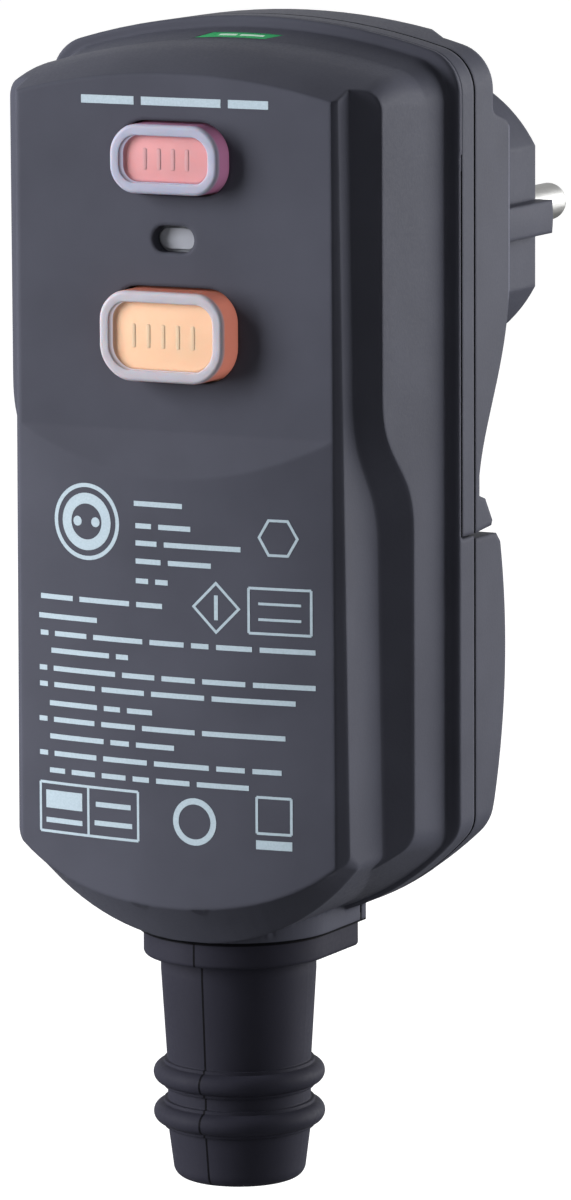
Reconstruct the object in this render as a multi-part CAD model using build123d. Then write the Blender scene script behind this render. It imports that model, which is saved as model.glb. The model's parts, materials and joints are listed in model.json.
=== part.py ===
from build123d import *
import os

# Residual current device plug: a mains plug with a trip unit, two buttons and a cable boot.
#
# Sizes are in millimetres. The origin is the centre of the plug's end face, midway between the
# roots of the two pins. +X is right as seen from the front panel, +Y points along the pins to the
# wall, and +Z points up, away from the cable.

# Depths, from the wall towards the front panel
SEAM_Y = -42.2            # joint between the front and the rear mouldings
SLIT_Y = -45.8            # joint between the front housing and the middle frame
FLANGE_Y = -46.6          # front face of the flange round the housing
PANEL_Y = -67.05          # front panel
PANEL_BACK_Y = -64.6      # inner face of the panel
COLLAR_Y = -18.5          # stop face that meets the socket outlet
RIM_BREAK = 0.3           # width of the shadow gap along a joint
RIM_BREAK_DEPTH = 1.5
SLIT_GAP_TOP_Z = 12.0     # the gap along the slit runs out here
REACH = 150.0             # farther than any piece, for blocks that cut

# Housing outline, seen from the front
HALF_WIDTH = 28.0
TOP_Z = 27.9
TOP_RADIUS = 86.5
BOTTOM_Z = -83.8
BOTTOM_RADIUS = 36.5
CORNER_TOP = 5.5
CORNER_BOTTOM = 4.0
WALL = 2.4                # thickness of the housing's walls
FIT = 0.3                 # clearance between pieces that move past each other
SEAT = 0.2                # clearance round a piece that drops into its seat

# Main wall of the front housing, between the flange and the ledge
WALL_HALF_BACK = HALF_WIDTH - 1.5
WALL_HALF_FRONT = HALF_WIDTH - 3.2
WALL_TOP_BACK = TOP_Z - 1.2
WALL_TOP_FRONT = 21.9
WALL_CORNER_FRONT = 2.0
WALL_BOTTOM_BACK = 0.4    # inset of the wall's foot from the flange's bottom arc
WALL_BOTTOM_FRONT, WALL_RADIUS_FRONT = BOTTOM_Z + 3.8, BOTTOM_RADIUS - 2.2

# Ledge between the main wall and the raised panel block
LEDGE_IN_X, LEDGE_OUT_X = 20.0, 30.0
LEDGE_IN_UPPER_Y, LEDGE_OUT_UPPER_Y = -64.5, -59.2
LEDGE_IN_LOWER_Y, LEDGE_OUT_LOWER_Y = -59.7, -50.9
LEDGE_IN_TOP_Z, LEDGE_IN_END_Z = -18.0, -36.0
LEDGE_OUT_TOP_Z, LEDGE_OUT_END_Z = -14.0, -30.0
LEDGE_BOTTOM_Z = -62.0    # the ledge runs round the bottom below this height

# Raised panel block; its half widths hold at Z = 0 and grow downwards by the flare
BLOCK_HALF_BACK, BLOCK_HALF_MID, BLOCK_HALF_FRONT = 22.25, 22.05, 21.97
BLOCK_FLARE = 0.01
BLOCK_TOP = 32.0          # above the top slope, which trims the block
BLOCK_SPLIT_Z = -10.0     # above this height the block is carved out of the wall
BLOCK_BACK_Y, BLOCK_MID_Y, BLOCK_FRONT_Y = -50.0, -63.6, -69.3
BLOCK_BOTTOM_MID, BLOCK_BOTTOM_RADIUS_MID = -83.7, 28.9
BLOCK_BOTTOM_FRONT, BLOCK_BOTTOM_RADIUS_FRONT = -78.3, 36.9
BLOCK_CORNER_MID, BLOCK_CORNER_FRONT = 1.5, 4.5
PANEL_EDGE_TOP, PANEL_EDGE_LOW = 21.2, 21.5      # half width of the panel inside its bevel
CROWN_TOP_Z = -20.7       # where the lower panel starts to rise
CROWN_HALF = 21.3
CROWN_RISE = 2.0
CROWN_RAMP = 5.4          # height over which the ramp reaches the full rise

# Rear housing and terminal cover
REAR_TOP_Y = -37.2
PAD_HALF_TOP, PAD_HALF_FOOT, PAD_Y = 18.2, 21.3, -34.0
HUMP_Y, HUMP_TOP_Z = -32.5, 15.4
THIN_Y = -41.0
NOTCH_Z = -34.5
NOTCH_GAP = 0.6
COVER_Y = -33.8
COVER_LOW_Y, COVER_LOW_Z = -36.6, -67.4   # where the cover's long curve ends

# Rooms inside the housing
CHAMBER_FRONT_Y = -53.5   # front of the wide rooms; only the panel block reaches further
CAVITY_CORNER = 2.0
CAVITY_TOP_Z = WALL_TOP_FRONT - 1.8
STRAP_WAY_Z0, STRAP_WAY_Z1 = -31.0, -14.0
PARTITION_Z0, PARTITION_Z1 = -37.4, -32.2
WIRE_WAY_HALF = 8.0
COVER_ROOM_Y, COVER_ROOM_Z = -38.2, -64.0
BOSS_RADIUS = 3.4
BOSS_BACK_Y = -39.5

# Plug
BARREL_RADIUS = 18.5
BARREL_FLAT = 16.2
RIB_HEIGHT = 4.2
COLLAR_RADIUS = 21.2
CLIP_SLOT_WIDTH, CLIP_SLOT_FLOOR = 9.0, 14.6
CLIP_WIDTH, CLIP_THICK = 6.5, 1.0
CLIP_FOOT_Y = -22.4
PIN_RADIUS = 2.4
PIN_SHANK_RADIUS = 2.2    # inside the plug
PIN_LENGTH = 19.0
PIN_SPACING = 19.0
PIN_SHOULDER_RADIUS, PIN_SHOULDER_Y = 3.2, -11.0
PIN_TAIL_RADIUS = 2.0
PIN_TAIL_Y = -24.0
CARRIER_RADIUS, CARRIER_INNER, CARRIER_FLANGE = 13.8, 12.2, 18.2
CARRIER_FRONT_Y, CARRIER_SEAT_Y, CARRIER_BACK_Y = -3.0, -21.5, -23.0

# Buttons and indicator, on the panel
TEST_Z, TEST_WIDTH, TEST_HEIGHT, TEST_PROUD, TEST_TRAVEL = 12.25, 14.65, 8.35, 2.5, 1.5
RESET_Z, RESET_WIDTH, RESET_HEIGHT, RESET_PROUD, RESET_TRAVEL = -8.9, 16.75, 10.9, 3.5, 2.5
BUTTON_RIM = 1.35         # width of the clear rim round each coloured key
BUTTON_FLANGE = 1.1       # thickness of the flange behind the panel
KEY_FRONT_Y = PANEL_BACK_Y + SEAT
KEY_BACK_Y = KEY_FRONT_Y + BUTTON_FLANGE
LENS_Z, LENS_WIDTH, LENS_HEIGHT, LENS_RECESS, LENS_RIM = 2.55, 5.7, 3.3, 1.3, 0.4

# Circuit board and mechanism
BOARD_FRONT_Y = KEY_BACK_Y + RESET_TRAVEL + 0.8
BOARD_BACK_Y = BOARD_FRONT_Y + 1.6
BOARD_HALF = BLOCK_HALF_MID - WALL - 1.2
BOARD_TOP_Z, BOARD_BOTTOM_Z = CAVITY_TOP_Z - 2.6, -58.0
LATCH_FRONT_Y = BOARD_BACK_Y + 0.7
LATCH_BACK_Y = LATCH_FRONT_Y + 1.0
LATCH_HALF = 4.2
LATCH_TOP_Z = 1.4
LATCH_TRAVEL = 1.5
STEM_RADIUS = 2.0
STEM_CLEARANCE = 0.6
STEM_END_Y = LATCH_BACK_Y + 0.3
CARRIAGE_TRAVEL = 2.5
CARRIAGE_FRONT_Y = LATCH_BACK_Y + CARRIAGE_TRAVEL + 0.8
CARRIAGE_BACK_Y = CARRIAGE_FRONT_Y + 4.0
CARRIAGE_HALF = 9.6
CARRIAGE_HEIGHT = 10.0
GUIDE_X, GUIDE_RADIUS = 6.2, 1.2
POLE_X = 12.5
STRIP_WIDTH, STRIP_THICK = 4.0, 0.8
BRIDGE_FRONT_Y = CARRIAGE_FRONT_Y + 1.8
CONTACT_UPPER_Z, CONTACT_LOWER_Z = -5.0, -13.0
CONTACT_RADIUS, CONTACT_HEIGHT = 1.4, 0.5
CONTACT_GAP = 0.05        # left between the contacts when the carriage is fully forward
COIL_Z0, COIL_Z1, COIL_Y, COIL_RADIUS = 4.5, CAVITY_TOP_Z - 1.5, -52.0, 5.0
SENSOR_Z, SENSOR_RADIUS, SENSOR_BORE = -24.0, 8.0, 4.0
SENSOR_FRONT_Y = BOARD_BACK_Y + 0.4
SENSOR_BACK_Y = SENSOR_FRONT_Y + 7.0
PLUNGER_RADIUS, NECK_PIN_RADIUS = 2.0, 1.0
PLUNGER_END_Z = 15.0
BOBBIN_WALL = 0.8

# Cable end
CABLE_Y = -51.4
CABLE_BORE = 4.75
NECK_RADIUS = 12.3
NECK_TOP_Z = -72.0
NECK_LIP_Y = THIN_Y + 0.1
BOOT_FLANGE_RADIUS, BOOT_FLANGE_BACK, BOOT_FLANGE_THICK = 11.7, 10.4, 3.2
BOOT_RADIUS_TOP, BOOT_RADIUS_END, BOOT_END_Z = 9.6, 8.0, -115.2
BOOT_RADIUS_UPPER, BOOT_UPPER_Z = 8.9, -100.4
BOOT_RADIUS_LOWER, BOOT_LOWER_Z = 8.8, -109.0
BOOT_RIB_RADIUS, BOOT_RIB_Z = 10.6, (-102.0, -107.0)
BOOT_WAIST_RADIUS, BOOT_COLLAR_RADIUS, BOOT_COLLAR_THICK = 7.6, 8.9, 1.6
FLOOR_Z = BOTTOM_Z + 3.3  # inner floor of the terminal chamber
TERMINAL_Z0, TERMINAL_Z1 = -62.0, -52.0
TERMINAL_PITCH = 14.0
TERMINAL_X = (-TERMINAL_PITCH, 0, TERMINAL_PITCH)
TERMINAL_FRONT_Y, TERMINAL_BACK_Y = -50.5, -44.8
TERMINAL_SCREW_Z = TERMINAL_Z0 + 4
WIRE_RADIUS = 1.15

# Screws
SCREW_RADIUS, SCREW_HEAD_RADIUS, SCREW_HEAD = 1.5, 2.6, 1.8
BOARD_SCREW_RADIUS, BOARD_SCREW_HEAD = 1.0, 1.9
CLAMP_SCREW_RADIUS, CLAMP_SCREW_HEAD = 1.25, 2.4
SCREW_SLOT_WIDTH, SCREW_SLOT_LENGTH, SCREW_SLOT_DEPTH = 0.7, 3.0, 0.9
SCREW_BACK_Y = -38.6
HOUSING_SCREW_LENGTH, COVER_SCREW_LENGTH = 12.0, 9.0
HOUSING_SCREW_X, COVER_SCREW_X, BOARD_SCREW_X = HALF_WIDTH - 5.8, HALF_WIDTH - 7.0, BOARD_HALF - 3.0
HOUSING_SCREWS = [(x, z) for z in (16.5, -17.5) for x in (-HOUSING_SCREW_X, HOUSING_SCREW_X)]
COVER_SCREWS = [(-COVER_SCREW_X, -67.0), (COVER_SCREW_X, -67.0)]
BOARD_SCREWS = [(x, z) for z in (14.0, -54.0) for x in (-BOARD_SCREW_X, BOARD_SCREW_X)]
CLAMP_Z = -70.0
CLAMP_FRONT_Y, CLAMP_BACK_Y = -49.0, -46.2
CLAMP_SCREWS = [(-9.5, CLAMP_Z), (9.5, CLAMP_Z)]


def facing_front(y):
    """Plane at depth y with local x along X and local y along Z; it extrudes towards the panel."""
    return Plane(origin=(0, y, 0), x_dir=(1, 0, 0), z_dir=(0, -1, 0))


def slab(shape, back_y, front_y):
    """A front view, given in X and Z, as a solid between two depths."""
    return extrude(facing_front(back_y) * shape, amount=back_y - front_y)


def rod(x, z, radius, back_y, front_y):
    """A round rod along Y."""
    return slab(Pos(x, z) * Circle(radius), back_y, front_y)


def bar(x0, x1, y0, y1, z0, z1):
    """A rectangular bar given by its limits."""
    middle = Pos((x0 + x1) / 2, (y0 + y1) / 2, (z0 + z1) / 2)
    return middle * Box(x1 - x0, y1 - y0, z1 - z0)


def side_profile(shape, half_width):
    """A side view, given in Y and Z, as a solid across the width."""
    return extrude(Plane.YZ * shape, amount=half_width, both=True)


def upright(x, y, z0, z1, radius):
    """A round rod along Z."""
    return Pos(x, y, (z0 + z1) / 2) * Cylinder(radius, z1 - z0)


def mirrored(solid):
    """A solid and its mirror image on the other side of the middle plane."""
    return [solid, mirror(solid, about=Plane.YZ)]


def outline(half, top, bottom, bottom_radius, corner_top=CORNER_TOP, corner_bottom=CORNER_BOTTOM,
            flare=0.0):
    """Straight sides, a shallow arc across the top and a rounder one across the bottom."""
    tall = 2 * (top - bottom)
    centre_z = bottom + bottom_radius
    high, low = top + tall / 4, bottom - tall / 4
    half_high, half_low = half - flare * high, half - flare * low
    sides = Polyline((-half_high, high), (half_high, high), (half_low, low), (-half_low, low), close=True)
    shape = make_face(sides)
    shape &= Pos(0, top - TOP_RADIUS) * Circle(TOP_RADIUS)
    round_end = Pos(0, centre_z) * Circle(bottom_radius)
    shape &= round_end + Pos(0, centre_z + tall / 2) * Rectangle(2 * bottom_radius, tall)
    corners = shape.vertices().sort_by(Axis.Y)
    shape = fillet(corners[-2:], corner_top)
    corners = shape.vertices().sort_by(Axis.Y)
    return fillet(corners[:2], corner_bottom)


def rim(inset=0.0):
    """Outline of the flange, or a line at an even distance inside it."""
    corner_top = max(CORNER_TOP - inset, 1.0)
    corner_bottom = max(CORNER_BOTTOM - inset, 1.0)
    return outline(HALF_WIDTH - inset, TOP_Z - inset, BOTTOM_Z + inset, BOTTOM_RADIUS - inset,
                   corner_top, corner_bottom)


def above(z):
    """Everything above a height, as a block."""
    return bar(-REACH, REACH, -REACH, REACH, z, REACH)


def below(z):
    """Everything below a height, as a block."""
    return bar(-REACH, REACH, -REACH, REACH, -REACH, z)


def shadow_gap(front_y):
    """Thin groove round the rim that shows a joint as a dark line."""
    groove = slab(rim(-1.0), front_y + RIM_BREAK, front_y)
    return groove - slab(rim(RIM_BREAK_DEPTH), front_y + 1, front_y - 1)


def ledge_cut():
    """Space in front of the right-hand ledge, whose depth follows a soft S down the side."""
    def face(x, upper_y, lower_y, start_z, end_z):
        far_y = -80.0
        middle = (start_z + end_z) / 2
        curve = Bezier((upper_y, start_z), (upper_y, middle), (lower_y, middle), (lower_y, end_z))
        path = Polyline((lower_y, end_z), (lower_y, -100), (far_y, -100), (far_y, 40),
                        (upper_y, 40), (upper_y, start_z))
        return Plane.YZ.offset(x) * make_face([curve, path])

    inner = face(LEDGE_IN_X, LEDGE_IN_UPPER_Y, LEDGE_IN_LOWER_Y, LEDGE_IN_TOP_Z, LEDGE_IN_END_Z)
    outer = face(LEDGE_OUT_X, LEDGE_OUT_UPPER_Y, LEDGE_OUT_LOWER_Y, LEDGE_OUT_TOP_Z, LEDGE_OUT_END_Z)
    return loft([inner, outer], ruled=True)


def main_wall():
    """Flange and main wall, cut back to the ledge on both sides and at the bottom."""
    flange = slab(rim(), SEAM_Y, FLANGE_Y)
    flange = fillet(flange.faces().sort_by(Axis.Y)[0].edges(), 0.4)
    back = outline(WALL_HALF_BACK, WALL_TOP_BACK, BOTTOM_Z + WALL_BOTTOM_BACK,
                   BOTTOM_RADIUS - WALL_BOTTOM_BACK)
    front = outline(WALL_HALF_FRONT, WALL_TOP_FRONT, WALL_BOTTOM_FRONT, WALL_RADIUS_FRONT,
                    WALL_CORNER_FRONT)
    body = flange + loft([facing_front(FLANGE_Y + 0.6) * back, facing_front(PANEL_Y) * front], ruled=True)
    kept = block_form() & above(BLOCK_SPLIT_Z)
    for cut in mirrored(ledge_cut()):
        body -= cut - kept
    return body - bar(-LEDGE_IN_X, LEDGE_IN_X, -REACH, LEDGE_IN_LOWER_Y, -REACH, LEDGE_BOTTOM_Z)


def block_outline(half, bottom, radius, corner):
    return outline(half, BLOCK_TOP, bottom, radius, 1.0, corner, BLOCK_FLARE)


def block_form():
    """Raised block with a bevel round its lower end, before the panel and its edges are cut."""
    back = block_outline(BLOCK_HALF_BACK, BLOCK_BOTTOM_MID, BLOCK_BOTTOM_RADIUS_MID, BLOCK_CORNER_MID)
    middle = block_outline(BLOCK_HALF_MID, BLOCK_BOTTOM_MID, BLOCK_BOTTOM_RADIUS_MID, BLOCK_CORNER_MID)
    front = block_outline(BLOCK_HALF_FRONT, BLOCK_BOTTOM_FRONT, BLOCK_BOTTOM_RADIUS_FRONT, BLOCK_CORNER_FRONT)
    base = loft([facing_front(BLOCK_BACK_Y) * back, facing_front(BLOCK_MID_Y) * middle], ruled=True)
    return base + loft([facing_front(BLOCK_MID_Y) * middle, facing_front(BLOCK_FRONT_Y) * front], ruled=True)


def panel_edge_cut():
    """Space beside the right-hand edge of the panel, which leaves a bevel that widens downwards."""
    def face(edge_x, z):
        reach = 2.5
        corner = (edge_x + reach, PANEL_Y - reach)
        ends = (edge_x - reach, PANEL_Y - reach), (edge_x + reach, PANEL_Y + reach)
        shape = Polyline(ends[0], corner, ends[1], close=True)
        return Plane.XY.offset(z) * make_face(shape)

    return loft([face(PANEL_EDGE_LOW, -100), face(PANEL_EDGE_TOP, 30)], ruled=True)


def panel_front():
    """Everything behind the panel: flat above, and crowned about a vertical axis below a ramp."""
    radius = (CROWN_HALF ** 2 + CROWN_RISE ** 2) / (2 * CROWN_RISE)
    flat = bar(-40, 40, PANEL_Y, 40, -100, 40)
    crown = upright(0, PANEL_Y - CROWN_RISE + radius, -100, CROWN_TOP_Z, radius)
    ramp = Polyline((PANEL_Y, CROWN_TOP_Z), (PANEL_Y - 3 * CROWN_RISE, CROWN_TOP_Z - 3 * CROWN_RAMP),
                    (PANEL_Y - 3 * CROWN_RISE, -100), (0, -100), (0, CROWN_TOP_Z), close=True)
    return flat + (crown & side_profile(make_face(ramp), 40) & bar(-40, 40, -90, 0, -100, 40))


def panel_block():
    """The lower part of the raised block, which stands in front of the ledge."""
    return block_form() & panel_front() & below(BLOCK_SPLIT_Z)


def housing_outside():
    """Outer form of the front housing, with the neck over the cable boot."""
    neck = Pos(0, CABLE_Y) * Circle(NECK_RADIUS)
    neck += Pos(0, (CABLE_Y + SEAM_Y) / 2) * Rectangle(2 * NECK_RADIUS, SEAM_Y - CABLE_Y)
    neck = Pos(0, 0, BOTTOM_Z) * extrude(neck, amount=NECK_TOP_Z - BOTTOM_Z)
    neck &= bar(-REACH, REACH, -REACH, SEAM_Y, -REACH, 0)
    body = main_wall() + panel_block()
    for cut in mirrored(panel_edge_cut()):
        body -= cut
    return body + neck


def oblong(width, height, upper_cut, lower_cut, grow=0.0):
    """Button face: a rectangle with well rounded corners, drawn larger or smaller by grow."""
    w, h = width / 2 + grow, height / 2 + grow
    upper_cut += 0.6 * grow
    lower_cut += 0.6 * grow
    points = [(-w, h - upper_cut), (-w + upper_cut, h), (w - upper_cut, h), (w, h - upper_cut),
              (w, -h + lower_cut), (w - lower_cut, -h), (-w + lower_cut, -h), (-w, -h + lower_cut)]
    shape = make_face(Polyline(*points, close=True))
    corners = shape.vertices().sort_by(Axis.Y)
    shape = fillet(corners[-4:], 1.6 * upper_cut)
    corners = shape.vertices().sort_by(Axis.Y)
    return fillet(corners[:4], 1.6 * lower_cut)


def test_shape(grow=0.0):
    return Pos(0, TEST_Z) * oblong(TEST_WIDTH, TEST_HEIGHT, 2.2, 2.0, grow)


def reset_shape(grow=0.0):
    return Pos(0, RESET_Z) * oblong(RESET_WIDTH, RESET_HEIGHT, 2.2, 2.6, grow)


def lens_shape(grow=0.0):
    return Pos(0, LENS_Z) * SlotOverall(LENS_WIDTH + 2 * grow, LENS_HEIGHT + 2 * grow)


def inlay_space():
    """Slanted pocket for the coloured strip in the top of the housing."""
    half, slant = 4.8, 0.8
    points = [(-half - slant, -50.9), (half - slant, -50.9), (half + slant, -48.9), (-half + slant, -48.9)]
    return Pos(0, 0, WALL_TOP_BACK - 1.8) * extrude(make_face(Polyline(*points, close=True)), amount=4)


def upper_cavity():
    """Room for the mechanism behind the panel, and for the terminals below a partition."""
    top = CAVITY_TOP_Z
    deep = outline(BLOCK_HALF_MID - WALL, top, BLOCK_BOTTOM_MID + WALL, BLOCK_BOTTOM_RADIUS_MID - WALL,
                   CAVITY_CORNER, CAVITY_CORNER)
    shoulder = outline(WALL_HALF_FRONT - WALL, top, LEDGE_OUT_TOP_Z, BOTTOM_RADIUS, CAVITY_CORNER, 1.0)
    wide = slab(rim(2 * WALL), SEAM_Y + 1, CHAMBER_FRONT_Y)
    overlap_y = CHAMBER_FRONT_Y + 0.5
    wide -= bar(-30, 30, overlap_y, 0, PARTITION_Z0, PARTITION_Z1)
    wire_way = bar(-WIRE_WAY_HALF, WIRE_WAY_HALF, overlap_y, SLIT_Y + 1,
                   PARTITION_Z0 - 0.6, PARTITION_Z1 + 0.6)
    room = slab(deep, overlap_y, PANEL_BACK_Y) + slab(shoulder, overlap_y, BOARD_FRONT_Y) + wide + wire_way
    return room & above(FLOOR_Z)


def front_housing():
    body = housing_outside()
    body -= upper_cavity()
    for x, z in HOUSING_SCREWS:
        body += rod(x, z, BOSS_RADIUS - 0.2, SLIT_Y, CHAMBER_FRONT_Y - 4.5)
    for x, z in COVER_SCREWS:
        body += rod(x, z, BOSS_RADIUS - 0.2, SEAM_Y, CHAMBER_FRONT_Y - 0.5) & slab(rim(WALL), 0, -70)
    for x, z in BOARD_SCREWS:
        body += rod(x, z, 2.2, BOARD_FRONT_Y, PANEL_BACK_Y)
    for x, z in CLAMP_SCREWS:
        body += rod(x, z, 2.6, CLAMP_FRONT_Y, PANEL_BACK_Y - 0.5)
    for x, z in HOUSING_SCREWS:
        body -= rod(x, z, SCREW_RADIUS, 0, SCREW_BACK_Y - SCREW_HEAD - HOUSING_SCREW_LENGTH - 2.6)
    for x, z in COVER_SCREWS:
        body -= rod(x, z, SCREW_RADIUS, 0, SCREW_BACK_Y - SCREW_HEAD - COVER_SCREW_LENGTH - 2.6)
    for x, z in BOARD_SCREWS:
        body -= rod(x, z, BOARD_SCREW_RADIUS, BOARD_FRONT_Y, BOARD_FRONT_Y - 3.5)
    for x, z in CLAMP_SCREWS:
        body -= rod(x, z, CLAMP_SCREW_RADIUS, SEAM_Y, CLAMP_FRONT_Y - 8.0)
    body -= bar(-REACH, REACH, SLIT_Y, 0, NOTCH_Z - 0.2, REACH)
    body -= bar(-REACH, REACH, SEAM_Y, 0, -REACH, REACH)
    body -= slab(test_shape(FIT), -60, -75)
    body -= slab(reset_shape(FIT), -60, -75)
    body -= slab(lens_shape(), -60, -75)
    body -= upright(0, CABLE_Y, BOTTOM_Z - 1, -75, BOOT_WAIST_RADIUS)
    body -= upright(0, CABLE_Y, FLOOR_Z, -75, BOOT_COLLAR_RADIUS)
    for shape in (test_shape, reset_shape):
        body -= seal(shape)
    body -= shadow_gap(SLIT_Y - RIM_BREAK) & above(NOTCH_Z) & below(SLIT_GAP_TOP_Z)
    body -= shadow_gap(SEAM_Y - RIM_BREAK) & below(NOTCH_Z)
    body -= cover_gasket()
    body -= inlay_space()
    return body


def seal(shape):
    """Lip seal in a groove round a button's opening."""
    return slab(shape(1.2) - shape(0.15), PANEL_BACK_Y - 0.6, PANEL_BACK_Y - 1.6)


def top_inlay():
    return housing_outside() & inlay_space()


def strap_path():
    """Route of the earth strap, in Y and Z, from the plug to the middle terminal."""
    wire_y = SLIT_Y - 0.8
    turn_y = SEAM_Y + 1.7
    return FilletPolyline((CLIP_FOOT_Y, -12.6), (turn_y, -12.6), (wire_y, -20.5), (wire_y, TERMINAL_Z1),
                          radius=2.0)


def mid_frame():
    """Ring between the slit and the seam, with a web that closes the mechanism from behind."""
    region = above(NOTCH_Z + 0.1)
    ring = (slab(rim(), SEAM_Y, SLIT_Y) - slab(rim(5.0), SEAM_Y + 1, SLIT_Y - 1)) & region
    sill = bar(-HALF_WIDTH + 4, HALF_WIDTH - 4, SLIT_Y, SEAM_Y, NOTCH_Z + 0.1, -31.5)
    web = slab(rim(4.0), SLIT_Y + 1.6, SLIT_Y) & region
    body = ring + sill + web
    for x in (-GUIDE_X, GUIDE_X):
        body += rod(x, RESET_Z, GUIDE_RADIUS, SLIT_Y + 0.5, CARRIAGE_FRONT_Y - CARRIAGE_TRAVEL + 0.1)
    for x, z in ((-9.5, -12.5), (9.5, -12.5), (-9.5, 12.5), (9.5, 12.5)):
        body += rod(x, z, 2.2, CARRIER_BACK_Y, SLIT_Y + 1.0)
    for window in mirrored(bar(POLE_X - 2.6, POLE_X + 2.6, SLIT_Y - 4, SEAM_Y + 2, -1.6, 1.6)):
        body -= window
    body -= bar(-3, 3, SLIT_Y - 4, SEAM_Y - 0.01, STRAP_WAY_Z0 + 4, STRAP_WAY_Z1)
    body -= bar(-5, 5, SLIT_Y - 4, SLIT_Y + 1.6, STRAP_WAY_Z0, STRAP_WAY_Z1)
    for x, z in HOUSING_SCREWS:
        body += rod(x, z, BOSS_RADIUS, SEAM_Y, SLIT_Y)
        body -= rod(x, z, SCREW_RADIUS, 0, SLIT_Y - 4)
    body -= shadow_gap(SEAM_Y - RIM_BREAK)
    body -= housing_gasket()
    return body


def housing_gasket():
    """Seal in the back of the middle frame."""
    low = NOTCH_Z + 4.9
    outer = slab(rim(2.0), SEAM_Y, SEAM_Y - 1.0) & above(low)
    return outer - (slab(rim(3.2), SEAM_Y + 1, SEAM_Y - 2) & above(low + 1.2))


def cover_gasket():
    """Seal in the rim of the terminal chamber."""
    high, low = NOTCH_Z - 1.5, FLOOR_Z + BOOT_COLLAR_THICK + 0.6
    outer = slab(rim(2.0), SEAM_Y, SEAM_Y - 0.9) & below(high) & above(low)
    return outer - (slab(rim(3.2), SEAM_Y + 1, SEAM_Y - 2) & below(high - 1.2) & above(low + 1.2))


def rear_profile():
    """Side view of the rear housing: a flat top, the hump behind the plug, a slope and a lip."""
    top = Polyline((SEAM_Y, 40), (REAR_TOP_Y, 40), (REAR_TOP_Y, HUMP_TOP_Z + 1.6))
    step = Bezier((REAR_TOP_Y, HUMP_TOP_Z + 1.6), (REAR_TOP_Y, HUMP_TOP_Z), (HUMP_Y, HUMP_TOP_Z + 0.6),
                  (HUMP_Y, HUMP_TOP_Z - 1.6))
    hump = Line((HUMP_Y, HUMP_TOP_Z - 1.6), (HUMP_Y, -3.0))
    slope = Bezier((HUMP_Y, -3.0), (HUMP_Y, -14.0), (THIN_Y + 1.6, -20.0), (THIN_Y, -27.5))
    lip = Polyline((THIN_Y, -27.5), (THIN_Y, -30.0), (-39.4, -30.5), (-37.4, -33.4), (-37.7, -34.0),
                   (SEAM_Y, NOTCH_Z + 0.1), (SEAM_Y, 40))
    return make_face([top, step, hump, slope, lip])


def barrel():
    """Plug body that enters the outlet: a round body with two flats, a guide rib on each."""
    round_body = Circle(BARREL_RADIUS) & Rectangle(2 * BARREL_FLAT, 4 * BARREL_RADIUS)
    ribs = Circle(BARREL_RADIUS) & Rectangle(4 * BARREL_RADIUS, RIB_HEIGHT)
    body = slab(round_body, 0, COLLAR_Y - 2)
    body = chamfer(body.faces().sort_by(Axis.Y)[-1].edges(), 0.5)
    return body + slab(ribs, -0.1, COLLAR_Y - 2)


def rear_housing():
    body = side_profile(rear_profile(), 40) & slab(rim(), -20, SEAM_Y)
    foot_y = REAR_TOP_Y - 1.0
    foot_x = PAD_HALF_FOOT + (PAD_HALF_FOOT - PAD_HALF_TOP) / (PAD_Y - REAR_TOP_Y)
    pad = Polyline((-foot_x, foot_y), (foot_x, foot_y), (PAD_HALF_TOP, PAD_Y), (-PAD_HALF_TOP, PAD_Y), close=True)
    body += extrude(make_face(pad), amount=REACH) & slab(rim(), -20, SEAM_Y)
    collar = rod(0, 0, COLLAR_RADIUS, COLLAR_Y, SEAM_Y + 2)
    collar = fillet(collar.edges().sort_by(Axis.Y)[-1], 1.0)
    body += collar + barrel()
    room_half, room_top = HALF_WIDTH - 2 * WALL, TOP_Z - 2 * WALL
    shallow = outline(room_half, room_top, -16.0, BOTTOM_RADIUS, CAVITY_CORNER, 1.0)
    in_hump = outline(room_half, 11.5, -12.0, BOTTOM_RADIUS, CAVITY_CORNER, 1.0)
    room = slab(shallow, REAR_TOP_Y - WALL, SEAM_Y) + slab(in_hump, HUMP_Y - WALL, SEAM_Y)
    room += rod(0, 0, CARRIER_FLANGE + SEAT, CARRIER_SEAT_Y, SEAM_Y)
    room += rod(0, 0, CARRIER_RADIUS + SEAT, CARRIER_FRONT_Y, SEAM_Y)
    body -= room
    for x, z in HOUSING_SCREWS:
        body += rod(x, z, BOSS_RADIUS, BOSS_BACK_Y, SEAM_Y) & slab(rim(1), -20, SEAM_Y)
        body -= rod(x, z, SCREW_RADIUS, 0, SLIT_Y - 4)
        body -= rod(x, z, SCREW_HEAD_RADIUS + SEAT, 0, SCREW_BACK_Y - SCREW_HEAD)
    for side in (1, -1):
        low, high = sorted((side * CLIP_SLOT_FLOOR, side * 30))
        body -= bar(-CLIP_SLOT_WIDTH / 2, CLIP_SLOT_WIDTH / 2, COLLAR_Y, 5, low, high)
        low, high = sorted((side * 12.0, side * 16.8))
        body -= bar(-CLIP_WIDTH / 2 - SEAT, CLIP_WIDTH / 2 + SEAT, COLLAR_Y - 4, COLLAR_Y, low, high)
    for side in (-1, 1):
        body -= rod(side * PIN_SPACING / 2, 0, PIN_RADIUS, 5, -5)
    return body


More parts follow.
